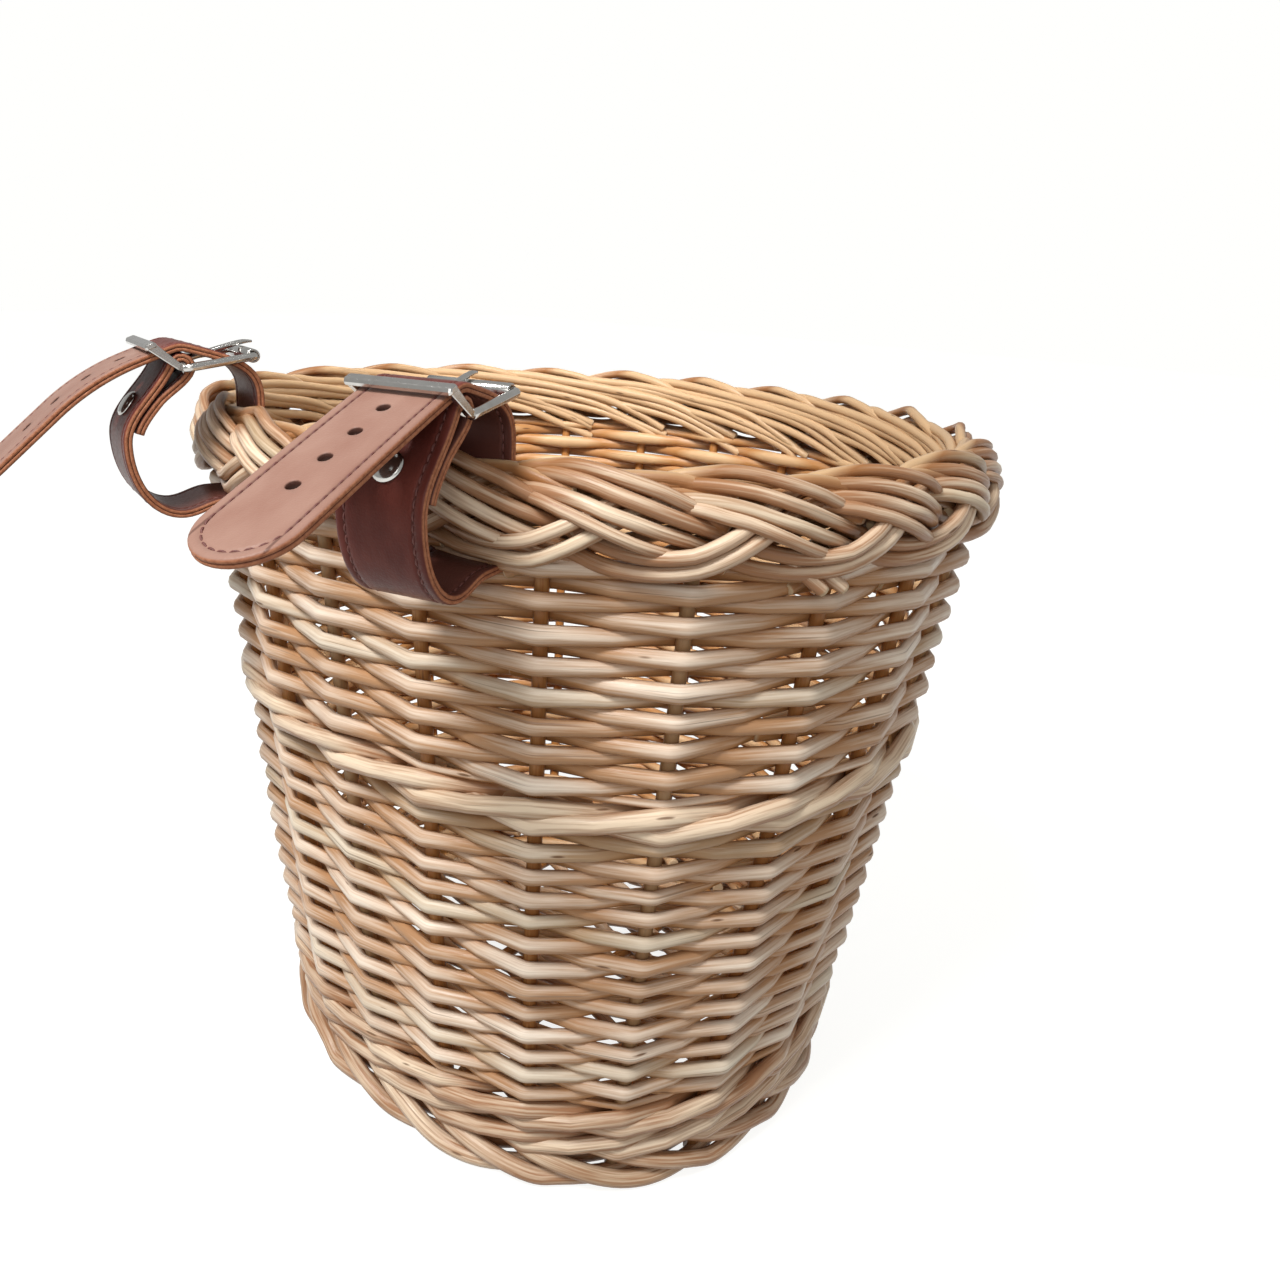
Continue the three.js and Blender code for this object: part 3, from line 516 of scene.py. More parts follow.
# %% Willow finish
# Depths where the painted pale crest turns to painted shade, and where the painted golden inside glow
# starts
DEPTH_CREST, DEPTH_SIDE = 7.2, 2.0
DEPTH_OUT, DEPTH_IN = 2.6, -2.6
INSIDE_GLOW_DEPTH, PAINTED_INSIDE_GLOW = (-2.8, -5.0), (0.74, 0.53, 0.31)
GREENISH, CUT_WOOD, SCAR = (0.50, 0.46, 0.30), (0.78, 0.62, 0.40), (0.15, 0.07, 0.03)
WILLOW_SPECULAR = 0.24
WILLOW_BUMP = (0.35, 0.00025)


def willow_group():
    w, given = finish_group("Willow skin", Pale=(0.8, 0.66, 0.45), Warm=(0.6, 0.4, 0.2),
                            Deep=(0.5, 0.25, 0.08), Mark=SCAR, Streaks=0.5, Marks=0.5)
    place = w.read("rod_place")
    shade, hue, cut = w.split(w.read("rod_tone"))
    depth, under = w.read("rod_depth", "Fac"), w.read("rod_underside", "Fac")
    grain = w.noise(place, (0.035, 1.0, 1.0), 1.1, 3.0)
    drift = w.noise(place, (0.022, 0.15, 0.15))
    fine = w.noise(place, (0.25, 3.0, 3.0))
    warm = w.times(w.remap(grain, 0.4, 0.7), given["Streaks"])
    # Drift and each rod's tone are its own; the depth and underside terms are painted shade, browner
    # away from the crest and underneath
    for source, limits in ((drift, (0.35, 0.75, 0.0, 0.55)), (shade, (0.0, 1.0, -0.3, 0.22)),
                           (depth, (DEPTH_CREST, DEPTH_SIDE, 0.0, 0.45)),
                           (under, (-0.1, 0.8, 0.0, 0.75))):
        warm = w.plus(warm, w.remap(source, *limits))
    warm = w.make("Clamp", {0: warm}).outputs[0]
    scars = w.remap(w.cells(w.scaled(place, (0.028, 0.16, 0.16)), 1.0), 0.045, 0.085, 1.0, 0.0)
    streak = w.remap(w.noise(place, (0.012, 0.7, 0.7), 1.3), 0.66, 0.72)
    mark = w.times(w.maths("MAXIMUM", scars, w.times(streak, 0.55)), given["Marks"])
    # Deep is painted shade where a rod goes in behind the stakes, and the inside gets a painted golden
    # glow of bounced light
    colour = w.cover(
        given["Pale"], (warm, given["Warm"]), (w.remap(hue, 0.86, 1.0, 0.0, 0.35), GREENISH),
        (w.times(w.remap(depth, DEPTH_OUT, DEPTH_IN), 0.85), given["Deep"]),
        (w.remap(depth, *INSIDE_GLOW_DEPTH, 0.0, 0.6), PAINTED_INSIDE_GLOW),
        (mark, given["Mark"]), (w.times(cut, 0.8), CUT_WOOD))
    rough = w.plus(w.remap(fine, 0.3, 0.7, 0.28, 0.42), w.times(mark, 0.2))
    rough = w.plus(rough, w.times(cut, 0.3))
    height = w.maths("SUBTRACT", w.plus(fine, w.times(grain, 0.8)), mark)
    return put_out(w, colour, rough, height)


willow_skin = willow_group()


def willow_material(name, pale, warm, deep, streaks, marks):
    return group_material(
        name, willow_skin, {"Specular_IOR_Level": WILLOW_SPECULAR}, *WILLOW_BUMP,
        Pale=pale, Warm=warm, Deep=deep, Streaks=streaks, Marks=marks)


# The third colour of each material is the painted shade of its grooves and hidden sides
weaver_willow = willow_material(
    "weaver_willow", (0.89, 0.76, 0.62), (0.46, 0.25, 0.125), (0.46, 0.21, 0.065), 0.5, 0.9)
border_willow = willow_material(
    "border_willow", (0.83, 0.66, 0.48), (0.38, 0.19, 0.095), (0.32, 0.135, 0.045), 0.75, 0.8)
stake_willow = willow_material(
    "stake_willow", (0.52, 0.27, 0.10), (0.32, 0.13, 0.04), (0.42, 0.18, 0.05), 0.7, 0.6)
print("willow finishes", len(bpy.data.materials))

# %% [markdown]
# Stakes stand in the ground of the pattern. They are a little thicker at the foot and
# browner than the weavers, and they end under the border.

# %% Stakes
STAKE_FOOT, STAKE_TOP = 2.8, 2.35
STAKE_HEIGHTS = np.array([3.6, 40, 90, 140, 190, 245.4, 250, 254])
STAKE_OUTSETS = np.array([0, 0, 0, 0, 0, 0, 0.5, 1.0])
STAKE_SWAY = 0.25


def add_stakes():
    radii = np.interp(STAKE_HEIGHTS, [0, WALL_HEIGHT], [STAKE_FOOT, STAKE_TOP])
    for stake in range(STAKES):
        bundle = Bundle()
        sway = random.normal(0, STAKE_SWAY, len(STAKE_HEIGHTS))
        centres, out = wall(stake + sway / rim_pitch, STAKE_HEIGHTS, STAKE_OUTSETS)
        bundle.add(centres, out, radii, outset=STAKE_OUTSETS)
        bundle.willow(f"stake_{stake + 1:02d}", stake_willow, "willow_stakes")


add_stakes()
print("stakes", STAKES)

# %% [markdown]
# A weaver runs straight from stake to stake and is kinked where it crosses one. Its line is
# a chain of straight runs with short round corners at the stakes, where it is also pressed
# a little flat.

# %% Crossing paths
CORNER = 0.03
CORNER_STEPS = (0.0, 0.3, 0.7, 1.0)
PRESSED = 0.88
FLATTENED, FLAT_REACH = 0.16, 0.3


def round_corner(start, corner, end, t):
    return start * (1 - t) ** 2 + corner * 2 * t * (1 - t) + end * t**2


def cornered(controls):
    """Stations along straight runs between controls, with each inner corner rounded."""
    stations = [controls[0]]
    for before, here, after in zip(controls[:-2], controls[1:-1], controls[2:]):
        start, end = here + (before - here) * CORNER, here + (after - here) * CORNER
        stations.append((stations[-1] + start) / 2)
        stations += [round_corner(start, here, end, t) for t in CORNER_STEPS]
    return np.array(stations + [(stations[-1] + controls[-1]) / 2, controls[-1]])


def lay_rod(bundle, controls):
    """Controls are rows of place, side (from -1 inside to 1 outside), extra, height, radius."""
    place, side, extra, height, radius = np.array(controls, float).T
    outset = side * PRESSED * (STAKE_TOP + radius) / (1 - CORNER / 2) + extra
    place, outset, height, radius = cornered(np.stack([place, outset, height, radius], 1)).T
    centres, out = wall(place, height, outset)
    near_stake = np.clip(1 - abs(place - np.round(place)) / FLAT_REACH, 0, 1)
    bundle.add(centres, out, radius, flat=FLATTENED * near_stake, outset=outset)


def tapered(radius, spread, taper, count):
    """Radii along a rod that is a little thicker or thinner than others."""
    return radius * random.uniform(*spread) * np.linspace(*taper, count)


def willow_pieces(bundles, name, material):
    for k, bundle in enumerate(bundles, 1):
        bundle.willow(f"{name}_{k}", material)


# %% [markdown]
# Randing is the plain weave of the wall: one rod at a time, outside one stake and inside
# the next. The stakes are odd in number, so one spiral alternates by itself. Rods are as
# long as about one and a half rounds. Each starts with its thick butt behind a stake, and
# its tip ends inside, behind the butt of the next. At each stake the rows share the height
# by how thick they are there.

# %% Randing
ROD_BAYS, SPARE_BAYS = (26, 34), 4
BUTT_SPREAD, TIP_SPREAD = (0.93, 1.06), (0.93, 1.08)
WEDGE_START = 0.35
WAVE, WAVE_SPAN = 0.6, 7
# How far a butt starts before its stake, and how far the tip goes on and dips behind it
BUTT_LEAD, BUTT_DIP = 0.25, -0.4
TIP_RUN, TIP_DIPS, TIP_RISE = 0.45, (-1.7, -1.9), 0.5
SIDE_JITTER = 0.22


def rod_lengths(first, last):
    """Crossings at which rods start and end, always behind a stake."""
    ends = [first]
    while last - ends[-1] > ROD_BAYS[1] + SPARE_BAYS:
        ends.append(ends[-1] + 2 * int(random.integers(ROD_BAYS[0] // 2, ROD_BAYS[1] // 2 + 1)))
    return ends + [last]


def randing(name, pieces, bottom, top, rows, butt, tip):
    crossings = rows * STAKES
    limits = [2 * round(crossings * k / pieces / 2) for k in range(pieces + 1)]
    limits[-1] = crossings - crossings % 2
    rods = []
    for k in range(pieces):
        ends = rod_lengths(limits[k], limits[k + 1])
        rods += [(k, a, b) for a, b in zip(ends[:-1], ends[1:])]
    radius = np.full(crossings + 2, tip)
    for _, a, b in rods:
        thick, thin = butt * random.uniform(*BUTT_SPREAD), tip * random.uniform(*TIP_SPREAD)
        radius[a:b] = np.linspace(thick, thin, b - a)
    index = np.arange(crossings + 2)
    rounds_from_end = np.minimum(index, crossings + 1 - index) / STAKES
    radius *= np.interp(rounds_from_end, [0, 1], [WEDGE_START, 1])
    height = np.zeros(crossings + 2)
    for stake in range(STAKES):
        column = radius[stake::STAKES]
        climb = np.r_[0, np.cumsum(column[1:] + column[:-1])]
        low, high = bottom + column[0], top - column[-1]
        height[stake::STAKES] = low + climb * (high - low) / climb[-1]
    swing = random.normal(0, 1, crossings + 1 + WAVE_SPAN)
    height += WAVE * np.convolve(swing, np.ones(WAVE_SPAN) / WAVE_SPAN, "valid")
    bundles = [Bundle() for _ in range(pieces)]
    for k, a, b in rods:
        controls = [(a - BUTT_LEAD, -1, BUTT_DIP, height[a], radius[a])]
        for i in range(a, b):
            extra = random.normal(0, SIDE_JITTER)
            controls.append((i, 1 if i % 2 else -1, extra, height[i], radius[i]))
        level, thin = height[min(b, crossings)], radius[b - 1]
        controls.append((b, -1, TIP_DIPS[0] * butt, level, thin))
        controls.append((b + TIP_RUN, -1, TIP_DIPS[1] * butt, level + TIP_RISE, thin))
        lay_rod(bundles[k], controls)
    willow_pieces(bundles, name, weaver_willow)
    print(name, "rods", len(rods), "pitch", round((top - bottom) / rows, 2))


UPSETT_TOP, MID_WALE_LOW, MID_WALE_TOP, RANDING_TOP = 38.5, 158.5, 171.5, 253.4
randing("lower_weaver", 4, UPSETT_TOP, MID_WALE_LOW, 25, 2.75, 2.35)
randing("upper_weaver", 3, MID_WALE_TOP, RANDING_TOP, 16, 3.0, 2.6)

# %% [markdown]
# A three-rod wale is a band of three thicker rods. Each passes outside two stakes and
# inside the third, and climbs as it goes. One such band divides the wall, and two rounds
# of it, the upsett, hold the stakes upright above the foot.

# %% Wales
WALE_SPREAD, WALE_TAPER, WALE_BUMP = (0.97, 1.05), (1.04, 0.10), 0.25
# Room added under a band, between its rounds, and to a rod's rise and fall
WALE_BASE, WALE_ROUND, WALE_LIFT = 0.4, 1.2, 0.2
# How far a rod is let in behind a stake or out in front of one
WALE_IN, WALE_OUT = -0.3, 0.2
# Place before the first stake, distance out and drop of a rod's start
WALE_START = (-0.3, -1.0, -0.5)
# Place after the last stake, two distances out, and how thin the end is
WALE_END, WALE_TUCKS, WALE_THIN = 0.4, (-0.4, -0.8), 0.9


def wale(name, bottom, diameter, rounds):
    lift = diameter / 2 + WALE_LIFT
    round_height = 2 * diameter + WALE_ROUND
    middle = bottom + diameter + WALE_BASE
    total = rounds * STAKES
    bundles = [Bundle() for _ in range(3)]
    for rod, bundle in enumerate(bundles):
        radius = diameter / 2 * random.uniform(*WALE_SPREAD)
        controls = [(rod + WALE_START[0], -1, WALE_START[1], middle + WALE_START[2], radius)]
        for stake in range(0, total + 1, 3):
            level = min(stake // STAKES, rounds - 1)
            if stake % STAKES == 0 and 0 < stake < total:
                level -= 0.5
            thick = radius * (WALE_TAPER[0] - WALE_TAPER[1] * (stake % STAKES) / STAKES)
            bump = random.normal(0, WALE_BUMP, 3)
            base = middle + level * round_height
            controls.append((stake + rod, -1, WALE_IN, base + bump[0], thick))
            if stake < total:
                base = middle + stake // STAKES * round_height
                controls.append((stake + rod + 1, 1, WALE_OUT, base - lift + bump[1], thick))
                controls.append((stake + rod + 2, 1, WALE_OUT, base + lift + bump[2], thick))
        place, side, _, height, thick = controls.pop()
        first, second = (tuck - 2 * radius for tuck in WALE_TUCKS)
        controls.append((place, side, first, height, thick))
        controls.append((place + WALE_END, side, second, height, radius * WALE_THIN))
        lay_rod(bundle, controls)
    willow_pieces(bundles, name, border_willow)


wale("upsett_rod", 14.0, 5.7, 2)
wale("mid_wale_rod", 158.6, 6.2, 1)
print("wales laid")

# %% [markdown]
# The foot is a rolled border: the end of each stake rod comes from inside, slants down over
# the outside of the next stake, turns at an elbow and lies along the ground until it slips
# in behind the others.

# %% Foot border
FOOT_RADIUS, FOOT_SPREAD, FOOT_TAPER = 3.2, (0.92, 1.06), (1.04, 0.92)
FOOT_JITTER, GROUND_ROOM = (0.03, 0.3, 0.25), 0.3
# Stakes from the rod's start, distance out and height
FOOT_PATH = np.array([
    (-0.35, -5.0, 15.0), (0.0, 3.0, 14.0), (0.45, 6.6, 11.2), (0.85, 7.6, 7.2), (1.12, 7.8, 4.2),
    (1.5, 6.4, 3.6), (2.0, 3.0, 3.5), (2.45, -2.0, 3.6), (2.9, -5.2, 4.0), (3.4, -6.2, 6.6),
])


def blend(a, b, c, d, t):
    """A cubic from b to c that has its direction from all four."""
    return 0.5 * (2 * b + (c - a) * t + (2 * a - 5 * b + 4 * c - d) * t**2
                  + (3 * b - a - 3 * c + d) * t**3)


def smooth_line(points, steps):
    """A smooth line through the points."""
    points = np.asarray(points, float)
    padded = np.vstack([2 * points[0] - points[1], points, 2 * points[-1] - points[-2]])
    spans = zip(padded[:-3], padded[1:-2], padded[2:-1], padded[3:])
    shares = np.linspace(0, 1, steps, endpoint=False)
    return np.array([blend(*span, t) for span in spans for t in shares] + [points[-1]])


def jittered(path, sizes):
    return path + random.normal(0, 1, path.shape) * sizes


def add_foot():
    bundles = [Bundle() for _ in range(3)]
    for stake in range(STAKES):
        place, outset, height = smooth_line(jittered(FOOT_PATH, FOOT_JITTER), 4).T
        radius = tapered(FOOT_RADIUS, FOOT_SPREAD, FOOT_TAPER, len(place))
        centres, out = wall(stake + place, np.maximum(height, radius + GROUND_ROOM), outset)
        bundles[stake % 3].add(centres, out, radius, outset=outset)
    willow_pieces(bundles, "foot_rod", border_willow)


add_foot()
print("foot rods", STAKES)

# %% [markdown]
# The rim is a plait. From each stake a group of rods starts inside the rim, comes over the
# top, falls to the right in a long straight run and goes under a pair that rises over it.
# Past that crossing two of its rods lie along the lower edge, rise over the next ends and
# dive under the next falling group. So one path, three stakes long, is used at every stake.
# Two more rods join each falling part only and are cut off behind the rising pair. Thinner
# rods lie behind them all, on the inner side.

# %% Plaited border
BORDER_ROD, BORDER_STEP, RIBBON_PITCH = 2.4, 0.07, 5.2
# Stakes from the group's start, height, distance out, and how far the ribbon leans back
PLAIT_PATH = np.array([
    (0.00, 275.9, 3.6, 42), (0.28, 275.0, 7.4, 30), (0.55, 271.4, 9.8, 18), (0.85, 265.8, 7.6, 8),
    (1.15, 260.4, 2.6, 0), (1.42, 256.0, 3.4, -8), (1.70, 254.9, 6.8, -14), (1.98, 256.9, 9.8, -8),
    (2.20, 261.8, 10.6, 0), (2.40, 267.2, 8.2, 12), (2.62, 272.4, 3.2, 24), (2.82, 275.0, 1.8, 36),
])
PLAIT_LENGTH = 3.0
# Sets the border rods deeper for the finish, so they carry more painted shade
PLAIT_SHADE_SHIFT = -5.0
ACROSS_DRIFT, OUT_DRIFT, DRIFT_KNOTS = 0.45, 0.25, 7
# A long rod's run, and the stretches at its ends that lie hidden and a little sunk
LONG_RUN, LONG_SHOWN, HIDDEN_FADE = (1.0, 4.32), (1.2, 4.1), 0.2
HIDDEN_SUNK, HIDDEN_THINNER = -1.6, 0.1
LONG_SPREAD, LONG_TAPER = (0.92, 1.05), (1.05, 0.93)
# The two short rods: side, start and end. They spread out from each other as they fall
SHORT_RUNS, SHORT_JITTER = ((1, -0.75, 1.22), (-1, -0.6, 1.3)), (-0.05, 0.05)
SPREAD_PLACES, SPREADS, LAST_SPREAD = (-0.6, 0.15, 0.7, 1.3), (0.2, 1.35, 1.55), (1.1, 1.5)
TUCK_PLACES, TUCKS = (-0.7, -0.05), (-5.0, -0.2)
SHORT_SPREAD, SHORT_TAPER = (0.8, 1.0), (1.05, 0.9)
# The inner rods: stakes, height and distance out. They give way where a strap lies on them
INNER_PATH = np.array([
    (-0.30, 250.5, -1.2), (0.05, 257.0, -3.4), (0.55, 264.6, -5.2), (1.20, 269.0, -5.0),
    (1.90, 272.8, -3.8), (2.45, 274.6, -1.6), (2.85, 275.0, 1.2), (3.25, 271.0, 4.0),
])
INNER_JITTER, INNER_SPREAD, INNER_TAPER = (0.05, 0.5, 0.25), (0.88, 1.05), (0.95, 1.05)
# The inner rods' depth for the finish paints them in shade with the painted golden inside glow
INNER_ROD, INNER_PITCH, INNER_LEAN, INNER_SHADE_DEPTH, UPPER_STEP = 2.3, 4.4, 0.5, -5.0, -0.7
# Where a rod's end was cut off and left to show under the border
STUB_PLACES, STUB_RADIUS, STUB_RUN = (3.60, 3.76, 9.3, 16.55, 16.7), 2.1, 0.22
STUB_TOP, STUB_FALL, STUB_OUT, STUB_REACH = 256, 8.5, 3.0, 5.5
STRAP_PLACE, STRAP_ROOM, STRAP_CLEAR, STRAP_LOW = 1.41, 0.62, 0.7, 253.4


def give_way(place, value, least):
    """Raises a value to its least where a strap passes round the rim."""
    from_back = abs((place + STAKES / 2) % STAKES - STAKES / 2)
    near_strap = np.exp(-((abs(from_back - STRAP_PLACE) / STRAP_ROOM) ** 6))
    return value + near_strap * np.maximum(least - value, 0)


def plait_at(along):
    """Height, distance out and lean on the path, which repeats every three stakes."""
    starts = PLAIT_PATH[:, 0]
    ends = np.r_[starts[1:], PLAIT_LENGTH]
    place = along % PLAIT_LENGTH
    here = np.searchsorted(starts, place, side="right") - 1
    t = ((place - starts[here]) / (ends[here] - starts[here]))[:, None]
    return blend(*(PLAIT_PATH[(here + k) % len(starts), 1:] for k in (-1, 0, 1, 2)), t).T


def drift(count, size):
    """A slow random swing along a rod."""
    knots = random.normal(0, size, count // DRIFT_KNOTS + 3)
    return np.interp(np.arange(count), np.arange(len(knots)) * DRIFT_KNOTS, knots)


def border_rod(bundle, group, along, across, sunk, radius):
    height, out, lean = plait_at(along)
    slope = np.gradient(height) / (np.gradient(along) * rim_pitch)
    lean = np.radians(lean)
    across = across + drift(len(along), ACROSS_DRIFT)
    up = across * np.cos(lean) / np.sqrt(1 + slope**2)
    place = group + along - up * slope / rim_pitch
    outset = out - across * np.sin(lean) + sunk + drift(len(along), OUT_DRIFT)
    outset = give_way(place, outset, STRAP_CLEAR)
    level = give_way(place, height + up, STRAP_LOW)
    centres, facing = wall(place, level, outset, level=WALL_HEIGHT)
    bundle.add(centres, facing, radius, outset=outset + PLAIT_SHADE_SHIFT)


def long_rod(bundle, group, half):
    along = np.arange(*LONG_RUN, BORDER_STEP)
    hidden = np.clip((LONG_SHOWN[0] - along) / HIDDEN_FADE, 0, 1)
    hidden = hidden + np.clip((along - LONG_SHOWN[1]) / HIDDEN_FADE, 0, 1)
    radius = tapered(BORDER_ROD, LONG_SPREAD, LONG_TAPER, len(along))
    radius = radius * (1 - HIDDEN_THINNER * hidden)
    border_rod(bundle, group, along, half * RIBBON_PITCH * 0.5, HIDDEN_SUNK * hidden, radius)


def short_rod(bundle, group, half, start, end):
    start, end = (limit + random.uniform(*SHORT_JITTER) for limit in (start, end))
    along = np.arange(start, end, BORDER_STEP)
    spread = np.interp(along, SPREAD_PLACES, (*SPREADS, random.uniform(*LAST_SPREAD)))
    radius = tapered(BORDER_ROD, SHORT_SPREAD, SHORT_TAPER, len(along))
    tucked = np.interp(along, TUCK_PLACES, TUCKS)
    border_rod(bundle, group, along, half * RIBBON_PITCH * spread, tucked, radius)


def inner_rod(bundle, group, step):
    place, height, out = smooth_line(jittered(INNER_PATH, INNER_JITTER), 6).T
    place = group + place
    out = give_way(place, out + step * INNER_LEAN, STRAP_CLEAR)
    radius = tapered(INNER_ROD, INNER_SPREAD, INNER_TAPER, len(place))
    centres, facing = wall(place, height - step * INNER_PITCH, out, level=WALL_HEIGHT)
    bundle.add(centres, facing, radius, outset=INNER_SHADE_DEPTH)


def add_border():
    bundles = [Bundle() for _ in range(6)]
    for group in range(STAKES):
        pair = bundles[2 * (group % 3):][:2]
        for half in (-1, 1):
            bundle = pair[half > 0]
            long_rod(bundle, group, half)
            inner_rod(bundle, group, (1 - half) // 2)
        inner_rod(pair[0], group, UPPER_STEP)
        for half, start, end in SHORT_RUNS:
            short_rod(pair[half > 0], group + PLAIT_LENGTH, half, start, end)
    steps = np.linspace(0, 1, 4)
    for place in STUB_PLACES:
        height, out = STUB_TOP - STUB_FALL * steps, STUB_OUT + STUB_REACH * steps
        centres, facing = wall(place + STUB_RUN * steps, height, out, level=WALL_HEIGHT)
        bundles[0].add(centres, facing, STUB_RADIUS, outset=STUB_OUT)
    willow_pieces(bundles, "border_rod", border_willow)


add_border()
print("border groups", STAKES)

# %% [markdown]
# Each strap is two plies of leather sewn together, buckled in a loop. Seen from the side it
# is one line: a short layer behind the leg, a fold round the centre bar, the outer leg, the
# loop under the rim, the run up the inner side, an arch to the buckle and the tail. The line
# is drawn in the plane that stands square to the wall, as distance out and height.

# %% Line of a strap
STRAP_HALF_WIDTH = 14.0
STRAP_THICKNESS = 3.0
CENTRE_BAR = np.array([21.0, 296.2])
CENTRE_BAR_RADIUS = 1.4
RUNNING_GAP = 0.3
FOLD_RADIUS = CENTRE_BAR_RADIUS + RUNNING_GAP + STRAP_THICKNESS / 2
OVER_RADIUS = FOLD_RADIUS + STRAP_THICKNESS + RUNNING_GAP
TAIL_SLOPE = 23.0
TAIL_LENGTH, TAIL_STRAIGHT, TAIL_BEND = 80.0, 12.0, 30.0
LEG_MIDDLE = np.array([39.5, 270.0])
LOOP_BOTTOM = np.array([22.75, 244.6])
SLOT_Z, SLOT_OUTER, INNER_RUN, RUN_CORNER = 248.0, 8.9, -4.94, 4.2
RUN_TOP = np.array([INNER_RUN, 285.2])
LEG_START, FOLD_START, OVER_START = 24.0, 205.0, 105.0
# Rows of the leg that the short layer lies behind
LAYER_ROWS = slice(16, 34)
DOWN, UP, IN = np.array([0.0, -1.0]), np.array([0.0, 1.0]), np.array([-1.0, 0.0])
TAIL_DROOP = {"left": 21.0, "right": 1.0}
STRAP_SIDE = {"left": -1, "right": 1}
LINE_STEP = 0.5


def heading(degrees):
    return np.array([math.cos(math.radians(degrees)), math.sin(math.radians(degrees))])


def bend(start, start_way, end, end_way, pull):
    t = np.linspace(0, 1, 40)[:, None]
    a, b = start + start_way * pull[0], end - end_way * pull[1]
    return start * (1 - t) ** 3 + 3 * a * t * (1 - t) ** 2 + 3 * b * t**2 * (1 - t) + end * t**3


def arc(centre, radius, start, end):
    return centre + radius * np.array([heading(v) for v in np.linspace(start, end, 24)])


def strap_parts(droop):
    """Head and tail of the line, the leg by itself, and how far along the fold starts."""
    leg_top = CENTRE_BAR + FOLD_RADIUS * heading(LEG_START)
    leg = bend(leg_top, heading(LEG_START - 90), LEG_MIDDLE, DOWN, (12, 10))
    tangent = unit(np.gradient(leg, axis=0))
    inward = np.stack([tangent[:, 1], -tangent[:, 0]], 1)
    layer = (leg + inward * (STRAP_THICKNESS + RUNNING_GAP))[LAYER_ROWS][::-1]
    fold_first = CENTRE_BAR + FOLD_RADIUS * heading(FOLD_START)
    to_fold = bend(layer[-1], -tangent[LAYER_ROWS.start], fold_first, heading(FOLD_START - 90), (5, 5))
    fold = arc(CENTRE_BAR, FOLD_RADIUS, FOLD_START, LEG_START)
    loop = bend(LEG_MIDDLE, DOWN, LOOP_BOTTOM, IN, (15, 9))
    under = bend(LOOP_BOTTOM, IN, np.array([SLOT_OUTER, SLOT_Z]), IN, (5, 5))
    corner = arc(np.array([INNER_RUN + RUN_CORNER, SLOT_Z + RUN_CORNER]), RUN_CORNER, 270, 180)
    over_first = CENTRE_BAR + OVER_RADIUS * heading(OVER_START)
    arch = bend(RUN_TOP, UP, over_first, heading(OVER_START - 90), (12, 14))
    over = arc(CENTRE_BAR, OVER_RADIUS, OVER_START, 90 - TAIL_SLOPE)
    steps = np.linspace(0, TAIL_LENGTH, 120)
    turn = -TAIL_SLOPE - droop * np.clip((steps - TAIL_STRAIGHT) / TAIL_BEND, 0, 1)
    ways = np.array([heading(v) for v in turn])
    tail = over[-1] + np.vstack([[0, 0], np.cumsum((ways[1:] + ways[:-1]) / 2 * steps[1], 0)])
    head = np.vstack([layer, to_fold[1:], fold[1:], leg[1:], loop[1:], under[1:], corner,
                      [RUN_TOP], arch[1:], over[1:]])
    return head, tail, leg, line_length(np.vstack([layer, to_fold[1:]]))[-1]


class StrapPlane:
    """Turns distance out, height and side place of one strap into the part's frame."""

    def __init__(self, side):
        point, normal = wall(STRAP_SIDE[side] * STRAP_PLACE, WALL_HEIGHT, WALL_INSET)
        self.point, self.out = point[0], normal[0]
        self.side = np.array([-self.out[1], self.out[0], 0.0])

    def at(self, out, height, side):
        out, height, side = np.broadcast_arrays(out, height, side)
        flat = self.point + out[..., None] * self.out + side[..., None] * self.side
        flat[..., 2] = height
        return flat


class StrapLine:
    """The whole line, measured along its length, with its direction at any place."""

    def __init__(self, side):
        head, tail, self.leg, self.fold_place = strap_parts(TAIL_DROOP[side])
        self.tail_start = line_length(head)[-1]
        line = np.vstack([head, tail[1:]])
        lengths = line_length(line)
        self.length = lengths[-1]
        self.tip_centre = self.length - STRAP_HALF_WIDTH
        self.fine = np.arange(0, self.length, LINE_STEP)
        self.points = points = places_on(line, lengths, self.fine)
        for _ in range(3):
            points[1:-1] = (points[:-2] + 2 * points[1:-1] + points[2:]) / 4
        self.ways = unit(np.gradient(points, axis=0))
        self.plane = StrapPlane(side)

    def surface(self, place, side, lift):
        """Points of the strap: along it, across it, and above its middle."""
        place, side, lift = np.broadcast_arrays(place, side, lift)
        inside = np.clip(place, 0, self.fine[-1])
        w = unit(places_on(self.ways, self.fine, inside))
        p = places_on(self.points, self.fine, inside) + w * (place - inside)[..., None]
        return self.plane.at(p[..., 0] - w[..., 1] * lift, p[..., 1] + w[..., 0] * lift, side)


strap_lines = {side: StrapLine(side) for side in STRAP_SIDE}
print("straps", [round(line.length, 1) for line in strap_lines.values()], "mm long")

# %% [markdown]
# A ply's edge is rounded, and a groove runs 3 mm inside the edge, where the thread lies.
# The section is drawn once, for half the width, from the middle of the upper face round the
# edge to the middle of the lower face. It is swept along the line, and turned round the
# middle of the tail's end, so the groove follows the round tip at the same distance.

